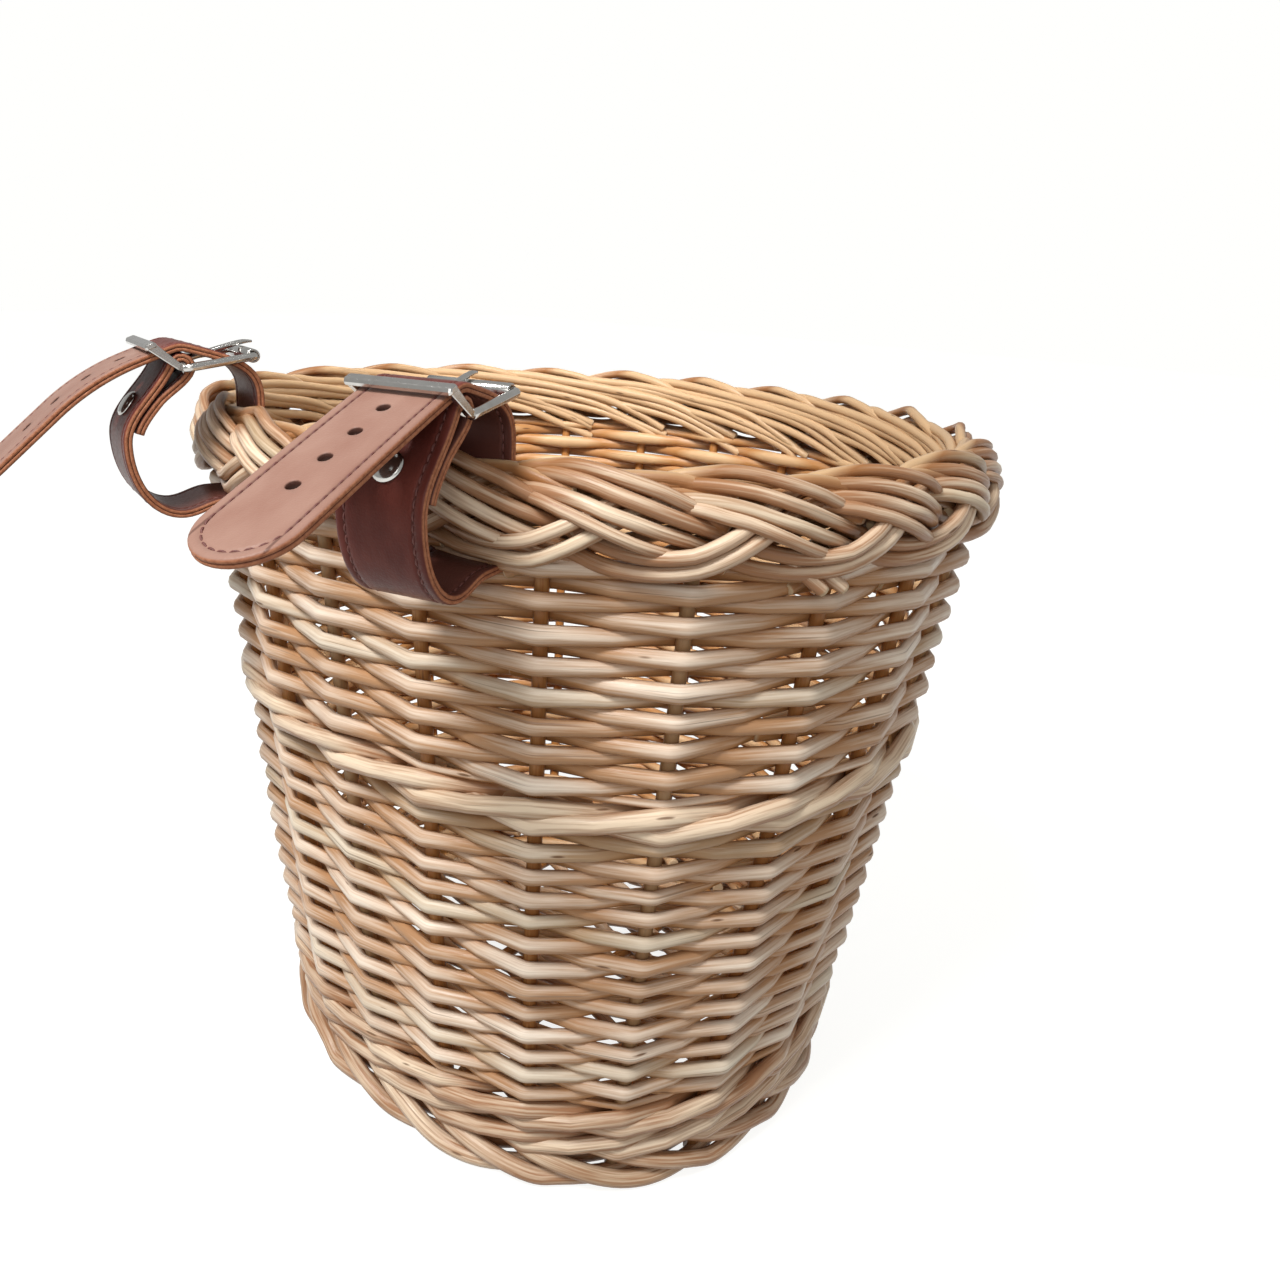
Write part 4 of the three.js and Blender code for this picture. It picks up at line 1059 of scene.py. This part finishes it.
# %% Section of a strap
HALF_SECTION = np.array([
    (0, 1.5), (1.6, 1.5), (3.2, 1.5), (6.5, 1.5), (9.4, 1.5), (10.35, 1.48), (10.75, 1.12),
    (11.15, 1.12), (11.5, 1.48), (13.1, 1.48), (13.65, 1.34), (13.92, 1.02), (14.0, 0.62),
    (13.9, 0.22), (13.55, 0.05), (13.55, -0.05), (13.9, -0.22), (14.0, -0.62),
    (13.92, -1.02), (13.65, -1.34), (13.1, -1.48), (11.5, -1.48), (11.15, -1.12),
    (10.75, -1.12), (10.35, -1.48), (9.4, -1.5), (6.5, -1.5), (3.2, -1.5), (1.6, -1.5), (0, -1.5),
])
EDGE_FIRST, EDGE_LAST = 11, 18
PLY_LINE = (14, 15)
SECTION = np.vstack([HALF_SECTION, HALF_SECTION[-2:0:-1] * (-1, 1)])
AROUND, LOWER_MIDDLE = len(SECTION), len(HALF_SECTION) - 1
FIRST_HOLE, HOLE_PITCH, HOLES = 15.0, 12.2, 4
HOLE_RADIUS, HOLE_PATCH = 1.8, 3.2
SLOT_ANGLE, SLOT_HALF_LENGTH, SLOT_HALF_WIDTH, SLOT_MARGIN = 166, 5.7, 1.7, 1.5
# A hole's rim: lift above the middle, how far it is opened out, and whether it is dark
RIM_ROWS = ((1.5, 1.18, 0.0), (1.5 * 0.78, 1.0, 1.0))
STATION_STEP = 1.9
TIP_STEPS = 22
TAIL_FADE_START, TAIL_FADE = 2.0, 5.0


def section_kind(j):
    """Whether a corner of the section is on the cut edge, and on the line between plies."""
    j = LOWER_MIDDLE - abs(LOWER_MIDDLE - j)
    return float(EDGE_FIRST <= j <= EDGE_LAST), float(j in PLY_LINE)


def stations_between(marks):
    places = [marks[0]]
    for a, b in zip(marks[:-1], marks[1:]):
        count = max(1, round((b - a) / STATION_STEP))
        places += list(np.linspace(a, b, count + 1)[1:])
    return np.array(places)


def on_rim(along, across, half_long, half_wide):
    """The place on the rim of a long hole that faces a place outside it."""
    straight = max(half_long - half_wide, 0)
    if abs(along) <= straight:
        return along, math.copysign(half_wide, across)
    over = math.copysign(abs(along) - straight, along)
    size = math.hypot(over, across)
    return math.copysign(straight, along) + over / size * half_wide, across / size * half_wide


class StrapMesh:
    """Corners and faces of one strap, and what the finish reads at each corner."""

    def __init__(self, line):
        self.line, self.faces, self.removed = line, [], set()
        slot = line.fold_place + FOLD_RADIUS * math.radians(FOLD_START - SLOT_ANGLE)
        reach = SLOT_HALF_LENGTH + SLOT_MARGIN
        holes = [(slot, SLOT_HALF_LENGTH, SLOT_HALF_WIDTH, reach)]
        marks = [0.0, slot - reach, slot + reach]
        for centre in line.tail_start + FIRST_HOLE + HOLE_PITCH * np.arange(HOLES):
            holes.append((centre, HOLE_RADIUS, HOLE_RADIUS, HOLE_PATCH))
            marks += [centre - HOLE_PATCH, centre, centre + HOLE_PATCH]
        self.places = stations_between(marks + [line.tip_centre])
        self.spots = [(u, s, h) for u in self.places for s, h in SECTION]
        self.hide = list(self.spots)
        self.kinds = [section_kind(j) for j in range(AROUND)] * len(self.places)
        for hole in holes:
            self.cut_hole(*hole)
        quads, ends = ring_faces(0, len(self.places), AROUND, False)
        kept = [quad for k, quad in enumerate(quads) if k not in self.removed]
        self.faces = kept + ends[:1] + self.tip() + self.faces

    def corner(self, spot, kind, hide=None):
        self.spots.append(spot)
        self.hide.append(hide or spot)
        self.kinds.append(kind)
        return len(self.spots) - 1

    def cut_hole(self, centre, half_long, half_wide, reach):
        rows = np.flatnonzero(abs(self.places - centre) < reach + 1e-6)
        first, last = rows[0], rows[-1]
        patch = ([(first, k) for k in range(-2, 3)] + [(i, 2) for i in range(first + 1, last + 1)]
                 + [(last, k) for k in (1, 0, -1, -2)] + [(i, -2) for i in range(last - 1, first, -1)])
        walls = []
        for middle, way in ((0, 1), (LOWER_MIDDLE, -1)):
            self.removed |= {i * AROUND + (middle + k) % AROUND
                             for i in range(first, last) for k in range(-2, 2)}
            ring = [(i, (middle + way * k) % AROUND) for i, k in patch]
            rim = [on_rim(self.places[i] - centre, SECTION[c][0], half_long, half_wide)
                   for i, c in ring]
            outer = [i * AROUND + c for i, c in ring]
            for lift, grow, dark in RIM_ROWS:
                inner = [self.corner((centre + u * grow, s * grow, way * lift), (0.0, dark),
                                     (centre + u, s, way * lift)) for u, s in rim]
                self.join_rows(outer, inner, way)
                outer = inner
            walls.append(outer)
        self.join_rows(*walls, 1)

    def join_rows(self, first, second, way):
        for a, b, c, d in zip(first, second, np.roll(second, -1), np.roll(first, -1)):
            self.faces.append((a, b, int(c), int(d))[::way])

    def tip(self):
        """Faces of the round end, by turning the half section about the tail's middle."""
        last = (len(self.places) - 1) * AROUND
        before = [last + j for j in range(LOWER_MIDDLE + 1)]
        faces = []
        for angle in math.pi / 2 - math.pi * np.arange(1, TIP_STEPS + 1) / TIP_STEPS:
            if angle > -math.pi / 2 + 1e-6:
                here = [self.corner((self.line.tip_centre + r * math.cos(angle), r * math.sin(angle), h),
                                    section_kind(j)) for j, (r, h) in enumerate(HALF_SECTION[1:-1], 1)]
                here = [before[0], *here, before[-1]]
            else:
                here = [last + (-j) % AROUND for j in range(LOWER_MIDDLE + 1)]
            for corners in zip(before[:-1], before[1:], here[1:], here[:-1]):
                faces.append(tuple(dict.fromkeys(corners))[::-1])
            before = here
        return faces

    def piece(self, side, material):
        name = f"{side}_strap_leather"
        points = self.line.surface(*np.array(self.spots).T)
        mesh = make_mesh(name, points, self.faces, recalculate=True)
        mesh.polygons.foreach_set("use_smooth", [True] * len(mesh.polygons))
        hide = np.array(self.hide)
        # The tail's painted sheen, fading in past the buckle
        tail_sheen = np.clip((hide[:, 0] - self.line.tail_start - TAIL_FADE_START) / TAIL_FADE, 0, 1)
        add_layer(mesh, "hide_place", hide)
        add_layer(mesh, "hide_kind", np.column_stack([self.kinds, tail_sheen]))
        place_piece(mesh, name, material, f"{side}_strap", [f"{side}_strap"])


print("section corners", AROUND)

# %% [markdown]
# Bridle leather has a fine pebbled grain, a half gloss on the outside and a paler, duller
# inside. The cut edges show two tan plies with a dark seam between. The tail is painted
# paler and pinker than the leg, a painted sheen of the bright room on it. The thread is waxed.

# %% Leather finish
LEATHER_SPECULAR, LEATHER_BUMP = 0.15, (0.25, 0.0002)
LEG_DARK, LEG_LIGHT = (0.105, 0.022, 0.016), (0.20, 0.052, 0.038)
# Colours of the painted sheen on the tail
TAIL_PALE, TAIL_WARM = (0.37, 0.215, 0.165), (0.30, 0.155, 0.115)
LINING = (0.10, 0.04, 0.03)
EDGE_TAN, EDGE_BROWN, SEAM = (0.50, 0.21, 0.11), (0.33, 0.12, 0.06), (0.05, 0.016, 0.012)
THREAD_DARK, THREAD_LIGHT = (0.11, 0.035, 0.03), (0.20, 0.07, 0.055)
GROOVE_PLACE = 10.95


def leather_material():
    material, w, shader = new_material("bridle_leather", Specular_IOR_Level=LEATHER_SPECULAR)
    place = w.read("hide_place")
    edge, seam, tail = w.split(w.read("hide_kind"))
    _, across, lift = w.split(place)
    cloud = w.noise(place, (0.05, 0.09, 0.2), 1.0, 3.0)
    fine = w.noise(place, (0.9, 0.9, 0.9), 1.0, 3.0)
    groove = w.maths("SUBTRACT", w.maths("ABSOLUTE", across), GROOVE_PLACE)
    groove = w.remap(w.maths("ABSOLUTE", groove), 0.25, 0.55, 0.55, 0.0)
    groove = w.times(groove, w.remap(w.maths("ABSOLUTE", lift), 0.9, 1.0))
    colour = w.cover(
        w.mix(w.remap(cloud, 0.35, 0.7), LEG_DARK, LEG_LIGHT),
        # The tail is painted paler and pinker: a painted sheen of the bright room
        (tail, w.mix(w.remap(cloud, 0.3, 0.75), TAIL_PALE, TAIL_WARM)),
        (w.times(w.remap(lift, -1.2, -0.6, 1.0, 0.0), 0.75), LINING),
        (edge, w.mix(w.remap(fine, 0.3, 0.7), EDGE_TAN, EDGE_BROWN)),
        (w.times(seam, 0.85), SEAM), (groove, SEAM))
    rough = w.plus(w.remap(fine, 0.3, 0.7, 0.32, 0.44), w.times(edge, 0.15))
    w.surface(shader, (colour, rough, w.plus(w.cells(place, 1.6), fine)), *LEATHER_BUMP)
    return material


def thread_material():
    material, w, shader = new_material("waxed_thread", Roughness=0.6)
    twist = w.noise(w.read("rod_place"), (3.0, 2.0, 2.0), 1.0, 1.0)
    w.join(w.mix(twist, THREAD_DARK, THREAD_LIGHT), shader.inputs["Base Color"])
    return material


leather, thread = leather_material(), thread_material()
print("leather finishes", leather.name, thread.name)

# %% Straps and stitches
STITCH_INSET, STITCH_PITCH, STITCH_LENGTH, STITCH_RADIUS = 3.05, 3.1, 2.2, 0.30
STITCH_FIRST, STITCH_SIDES = 3.0, 6
# Lift of a stitch above the strap's middle at four places: its ends dip into the leather
STITCH_LIFT, STITCH_FACING = np.array([0.92, 1.32, 1.32, 0.92]), 2.44


def add_stitches(bundle, line):
    """Short lengths of thread along both grooves and round the tail's tip, on both faces."""
    inset = STRAP_HALF_WIDTH - STITCH_INSET
    steps = np.linspace(0, STITCH_LENGTH, 4)
    starts = np.arange(STITCH_FIRST, line.tip_centre, STITCH_PITCH)
    stitches = [(place + steps, side) for side in (-inset, inset) for place in starts]
    swing = STITCH_PITCH / inset
    for angle in np.arange(-math.pi / 2 + swing / 2, math.pi / 2, swing):
        turns = angle + steps / inset
        stitches.append((line.tip_centre + inset * np.cos(turns), inset * np.sin(turns)))
    for face in (1, -1):
        for place, side in stitches:
            centres = line.surface(place, side, face * STITCH_LIFT)
            out = line.surface(place, side, face * STITCH_FACING) - centres
            bundle.add(centres, out, STITCH_RADIUS, tone=0.5, sides=STITCH_SIDES)


for side, line in strap_lines.items():
    StrapMesh(line).piece(side, leather)
    stitches = Bundle()
    add_stitches(stitches, line)
    stitches.piece(f"{side}_strap_thread", thread, f"{side}_strap", "strap_leather", [])
print("holes in each tail", HOLES)

# %% [markdown]
# Everything of metal is polished nickel with a faint haze and fine wear.

# %% Metal finish
NICKEL_LIGHT, NICKEL_DARK = (0.58, 0.565, 0.54), (0.50, 0.485, 0.46)
NICKEL_BUMP = (0.06, 0.0001)


def nickel_group():
    w, given = finish_group("Nickel wear", Scratches=1.0)
    place = w.make("TexCoord").outputs["Object"]
    haze = w.noise(place, (1.0, 1.0, 1.0), 220.0, 3.0)
    lines = w.noise(place, (300.0, 3000.0, 3000.0))
    colour = w.mix(w.remap(haze, 0.35, 0.7), NICKEL_LIGHT, NICKEL_DARK)
    rough = w.times(w.remap(lines, 0.45, 0.75, 0.0, 0.14), given["Scratches"])
    return put_out(w, colour, w.plus(rough, w.remap(haze, 0.3, 0.8, 0.12, 0.18)), haze)


nickel_wear = nickel_group()
frame_nickel, rivet_nickel = (
    group_material(name, nickel_wear, {"Metallic": 1.0}, *NICKEL_BUMP, Scratches=scratches)
    for name, scratches in (("buckle_nickel", 1.0), ("rivet_nickel", 0.6)))
print("metal finishes", frame_nickel.name, rivet_nickel.name)

# %% [markdown]
# A roller buckle is a bent wire with a flat front bar pressed on it. The side rails dip in
# a point at the centre bar, where the strap is folded, and run up again as round wire to
# the back bar, which carries a hollow roller. The tongue is a tapered pin with its tip
# turned up. A domed rivet closes the fold of the strap round the buckle.

# %% Buckle measures
ROLLER_CENTRE = np.array([-2.768, 299.815])
ROLLER_RADIUS, ROLLER_WALL, ROLLER_BEVEL, ROLLER_SIDES = 2.45, 0.7, 0.25, 24
RAIL_INNER, RAIL_OUT = 14.6, 1.2
WIRE_RADIUS, WIRE_SIDES, BACK_BAR_RADIUS, BACK_CORNER = 1.45, 14, 1.25, 1.6
FRONT_PLACE, FRONT_LIFT, FRONT_REACH = 6.5, 3.8, 2.4
FRONT_HALF_LENGTH, FRONT_HALF_HEIGHT = 2.0, 1.05
BAR_PROFILE = np.array([(-1, -0.75), (-0.85, -1), (0.85, -1), (1, -0.75), (1, 0.1), (0.72, 0.85),
                        (0.55, 1), (-0.55, 1), (-0.72, 0.85), (-1, 0.1)])
BAR_STATIONS = ((-1, 0.62), (-0.985, 0.86), (-0.955, 1), (0.955, 1), (0.985, 0.86), (1, 0.62))
RAIL_DIP = CENTRE_BAR + (0.4, -0.6)
RAIL_PROFILE = np.array([(-1, -0.8), (-0.8, -1), (0.8, -1), (1, -0.8),
                         (1, 0.8), (0.8, 1), (-0.8, 1), (-1, 0.8)])
# Share of the way from the front bar to the dip, half height, and half thickness
RAIL_STATIONS = ((0, 2.3, 0.9), (0.3, 2.0, 0.95), (0.65, 1.75, 1.05),
                 (0.9, 1.55, 1.15), (1.0, 1.2, 1.15))
RAIL_SLIM = 0.7
TONGUE_ANGLE, TONGUE_HOOK, TONGUE_TURN = 162.015, 14, 22
TONGUE_START, TONGUE_BEND, TONGUE_TIP = 2.2, 4, 4.5
TONGUE_TAPER = ([0, 0.3, 0.8, 1], [1.25, 1.1, 0.85, 0.42])
EYE_RADIUS, EYE_WALL, EYE_HALF_WIDTH, EYE_STEPS, EYE_SIDES = 2.35, 0.62, 1.3, 22, 10
RIVET_PLACE, RIVET_RADIUS, RIVET_SIDES = 0.58, 4.9, 28
RIVET_BACK = -(STRAP_THICKNESS * 1.5 + RUNNING_GAP)
DOME = [heading(a) * (RIVET_RADIUS * 0.96, 1.45) + (0, 2.05) for a in np.linspace(8, 84, 9)]
RIVET_PROFILE = [
    (0.2, RIVET_BACK - 1.2), (2.6, RIVET_BACK - 1.1), (3.2, RIVET_BACK - 0.7), (3.2, RIVET_BACK),
    (1.6, RIVET_BACK), (1.6, 1.5), (4.5, 1.5), (RIVET_RADIUS, 1.75), (RIVET_RADIUS, 2.05), *DOME,
    (0.2, 3.51)]
print("rivet profile", len(RIVET_PROFILE), "rings")


# %% Metal shapes


class Metal:
    """Corners and faces of one metal piece, drawn in the plane of its strap."""

    def __init__(self, plane):
        self.plane, self.points, self.faces, self.sharp = plane, [], [], []

    def rings(self, rings, flat=False, loop=False):
        """Rings are lists of (out, height, side) places with the same count."""
        rings = np.asarray(rings, float)
        faces, ends = ring_faces(sum(map(len, self.points)), *rings.shape[:2], loop)
        self.points.append(self.plane.at(*rings.reshape(-1, 3).T))
        self.faces += faces + ends
        self.sharp += [flat] * len(faces) + [True] * len(ends)

    def wire(self, centres, radius):
        """A round wire along places (out, height, side)."""
        centres = np.asarray(centres, float)
        radius = np.broadcast_to(radius, len(centres))[:, None, None]
        way = unit(np.gradient(centres, axis=0))
        a = unit(np.cross(way, (0.3, 0.2, 1.0)))
        b = np.cross(way, a)
        c, s = (v[:, None] for v in circle(WIRE_SIDES))
        self.rings(centres[:, None] + radius * (c * a[:, None] + s * b[:, None]))

    def piece(self, name, material, body, nodes):
        mesh = make_mesh(name, np.concatenate(self.points), self.faces, recalculate=True)
        mesh.polygons.foreach_set("use_smooth", ~np.array(self.sharp))
        place_piece(mesh, name, material, body, nodes)


def with_side(places, side):
    """Gives places in the strap's plane their side place."""
    return np.column_stack([places, np.broadcast_to(side, len(places))])


def add_frame(side, plane):
    along, above = heading(-TAIL_SLOPE), heading(90 - TAIL_SLOPE)
    front = CENTRE_BAR + (OVER_RADIUS + FRONT_LIFT) * above + FRONT_PLACE * along
    frame = Metal(plane)
    half = RAIL_INNER + FRONT_REACH
    bar = BAR_PROFILE @ np.array([along * FRONT_HALF_LENGTH, above * FRONT_HALF_HEIGHT])
    frame.rings([with_side(front + bar * size, place * half) for place, size in BAR_STATIONS], flat=True)
    down = unit(RAIL_DIP - front)
    across = np.array([-down[1], down[0]]) * RAIL_SLIM
    x, y = RAIL_PROFILE[:, :1], RAIL_PROFILE[:, 1]
    for way in (-1, 1):
        rail = way * (RAIL_INNER + RAIL_OUT)
        frame.rings([with_side(front * (1 - t) + RAIL_DIP * t + across * x * wide, rail + y * deep)
                     for t, wide, deep in RAIL_STATIONS], flat=True)
        knee, back = np.array([*RAIL_DIP, rail]), np.array([*ROLLER_CENTRE, rail])
        inner = np.array([*ROLLER_CENTRE, way * (RAIL_INNER - 2)])
        start, end = (back + unit(v - back) * BACK_CORNER for v in (knee, inner))
        corner = round_corner(start, back, end, np.linspace(0, 1, 6)[:, None])
        frame.wire(np.vstack([np.linspace(knee, start, 8)[:-1], corner, inner]), WIRE_RADIUS)
    places = np.linspace(-RAIL_INNER - 1, RAIL_INNER + 1, 6)
    frame.wire([(*CENTRE_BAR, s) for s in places], CENTRE_BAR_RADIUS)
    frame.wire([(*ROLLER_CENTRE, s) for s in places], BACK_BAR_RADIUS)
    frame.piece(f"{side}_buckle_wire", frame_nickel, f"{side}_buckle", [f"{side}_buckle_frame"])


def add_roller(side, plane):
    low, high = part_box(f"{side}_buckle_roller")
    drawn = (plane.at(*ROLLER_CENTRE, 0.0) * MM + wall_origin).ravel()
    off = [round(1000 * (drawn[k] - (low[k] + high[k]) / 2), 2) for k in range(3)]
    print(side, "roller off its axle by", off, "mm")
    roller = Metal(plane)
    reach = RAIL_INNER - 0.5
    inside, bevelled = ROLLER_RADIUS - ROLLER_WALL, ROLLER_RADIUS - ROLLER_BEVEL
    half = reach - ROLLER_BEVEL
    profile = ((-reach, bevelled), (-half, ROLLER_RADIUS), (half, ROLLER_RADIUS), (reach, bevelled),
               (reach, inside), (-reach, inside))
    turns = np.column_stack(circle(ROLLER_SIDES))
    roller.rings([with_side(ROLLER_CENTRE + r * turns, s) for s, r in profile], loop=True)
    roller.piece(f"{side}_roller_tube", frame_nickel, f"{side}_roller", [f"{side}_buckle_roller"])


def add_tongue(side, plane):
    tongue = Metal(plane)
    way = heading(TONGUE_ANGLE)
    distance = np.linalg.norm(ROLLER_CENTRE - CENTRE_BAR)
    hooked = CENTRE_BAR + way * distance + heading(TONGUE_ANGLE + TONGUE_HOOK) * TONGUE_TIP
    start, turn = (CENTRE_BAR + way * v for v in (TONGUE_START, distance - TONGUE_BEND))
    hook = bend(turn, way, hooked, heading(TONGUE_ANGLE + TONGUE_TURN), (3, 3))[4::5]
    arm = np.vstack([np.linspace(start, turn, 8), hook])
    radius = np.interp(np.linspace(0, 1, len(arm)), *TONGUE_TAPER)
    tongue.wire(with_side(arm, 0.0), radius)
    c, s = circle(EYE_SIDES)
    tongue.rings([with_side(CENTRE_BAR + np.outer(EYE_RADIUS + EYE_WALL * c, out), EYE_HALF_WIDTH * s)
                  for out in np.column_stack(circle(EYE_STEPS))], loop=True)
    tongue.piece(f"{side}_tongue_pin", frame_nickel, f"{side}_tongue", [f"{side}_buckle_tongue"])


def add_rivet(side, line):
    rivet = Metal(line.plane)
    rows = np.linspace(0, 1, len(line.leg))
    point, near = places_on(line.leg, rows, np.array([RIVET_PLACE, RIVET_PLACE + 0.02]))
    tangent = unit(near - point)
    out = np.array([-tangent[1], tangent[0]])
    c, s = circle(RIVET_SIDES)
    rivet.rings([with_side(point + out * lift + np.outer(r * c, tangent), r * s)
                 for r, lift in RIVET_PROFILE])
    rivet.piece(f"{side}_rivet_dome", rivet_nickel, f"{side}_strap", [f"{side}_rivet"])


for side, line in strap_lines.items():
    for add in (add_frame, add_roller, add_tongue):
        add(side, line.plane)
    add_rivet(side, line)
print("buckles", len(strap_lines))

# %% [markdown]
# The base is a mat: sticks run from back to front, and two weavers go over and under them
# from side to side, turning back at the edge. A hoop of two thick bent rods closes it and
# stands inside the foot. The mat is woven from the same rods as the wall.

# %% Base
HOOP_ROD, HOOP_LEVELS, HOOP_OUTSET = 3.5, (3.9, 10.4), -15.6
HOOP_SETBACK = 1.5
STICK_PLACES, STICK_Z, STICK_RADIUS = (-62.41, -21.11, 20.2, 61.5), 9.8, 2.9
STICK_STEPS, STICK_JITTER = 12, 0.2
MAT_ROWS, MAT_FIRST, MAT_LAST, MAT_ROD = 23, -79.0, 79.0, 2.75
MAT_LIFT, MAT_JITTER, MAT_TURN = 5.5, 0.3, 3.0
# Room between a row's end and the hoop, and between a crossing and a row's end
END_ROOM, CROSSING_ROOM = 2, 7
# Depths for the finish that paint the base in shade and in the painted inside glow
BASE_SHADE_DEPTH, MAT_SHADE_DEPTH = -3.0, -1.0
UPWARD = np.array([0.0, 0.0, 1.0])


def hoop_line(height, outset):
    undo = WALL_INSET + FOOT_INSET * math.exp(-height / FOOT_INSET_FADE)
    centres, out = wall(np.arange(0, STAKES, 0.25), height, outset + undo)
    centres[:, 1] += FOOT_SETBACK * (1 - height / WALL_HEIGHT) - HOOP_SETBACK
    return centres, out


def mat_reach(axis, distance):
    """Lowest and highest place of the hoop's inner edge at a distance along the other axis."""
    edge, _ = hoop_line(HOOP_LEVELS[0], HOOP_OUTSET - HOOP_ROD - MAT_ROD)
    after = np.roll(edge, -1, 0)
    a, b = edge[:, 1 - axis] - distance, after[:, 1 - axis] - distance
    cut = (a * b <= 0) & (a != b)
    share = a[cut] / (a - b)[cut]
    found = edge[cut, axis] + share * (after - edge)[cut, axis]
    return found.min(), found.max()


def mat_route(rows, half):
    """Places along one weaver, row by row, over and under the sticks in turn."""
    route = []
    for row in half:
        way = 1 if row % 2 == 0 else -1
        spans = [mat_reach(0, rows[r]) for r in (row - 1, row, row + 1) if r in half]
        low, high = max(s[0] for s in spans) + END_ROOM, min(s[1] for s in spans) - END_ROOM
        start, end = (low, high)[::way]
        route.append((start, rows[row], STICK_Z))
        crossed = [(x, i) for i, x in enumerate(STICK_PLACES)
                   if low + CROSSING_ROOM < x < high - CROSSING_ROOM]
        for x, i in crossed[::way]:
            over = 1 if (i + row) % 2 == 0 else -1
            route.append((x, rows[row] + random.normal(0, MAT_JITTER), STICK_Z + over * MAT_LIFT))
        route.append((end, rows[row], STICK_Z))
        if row + 1 in half:
            route.append((end + way * MAT_TURN, (rows[row] + rows[row + 1]) / 2, STICK_Z))
    return route


def add_base():
    hoop = Bundle()
    for level in HOOP_LEVELS:
        hoop.add(*hoop_line(level, HOOP_OUTSET), HOOP_ROD, closed=True, outset=BASE_SHADE_DEPTH)
    hoop.willow("base_hoop", stake_willow, "willow_stakes")
    for k, x in enumerate(STICK_PLACES, 1):
        xs = x + random.normal(0, STICK_JITTER, STICK_STEPS)
        ys = np.linspace(*mat_reach(1, x), STICK_STEPS)
        radius = np.linspace(STICK_RADIUS, STICK_RADIUS * 0.9, STICK_STEPS)
        stick = Bundle()
        stick.add(np.column_stack([xs, ys, np.full(STICK_STEPS, STICK_Z)]), UPWARD, radius,
                  outset=BASE_SHADE_DEPTH)
        stick.willow(f"base_stick_{k}", stake_willow, "willow_stakes")
    rows = np.linspace(MAT_FIRST, MAT_LAST, MAT_ROWS)
    mats = []
    for half in (range(0, MAT_ROWS // 2), range(MAT_ROWS // 2, MAT_ROWS)):
        line = smooth_line(mat_route(rows, half), 7)
        line[:, 2] = np.clip(line[:, 2], STICK_Z - MAT_LIFT, STICK_Z + MAT_LIFT)
        mats.append(Bundle())
        mats[-1].add(line, UPWARD, MAT_ROD, outset=MAT_SHADE_DEPTH)
    willow_pieces(mats, "base_weaver", weaver_willow)


add_base()
print("base rows", MAT_ROWS)
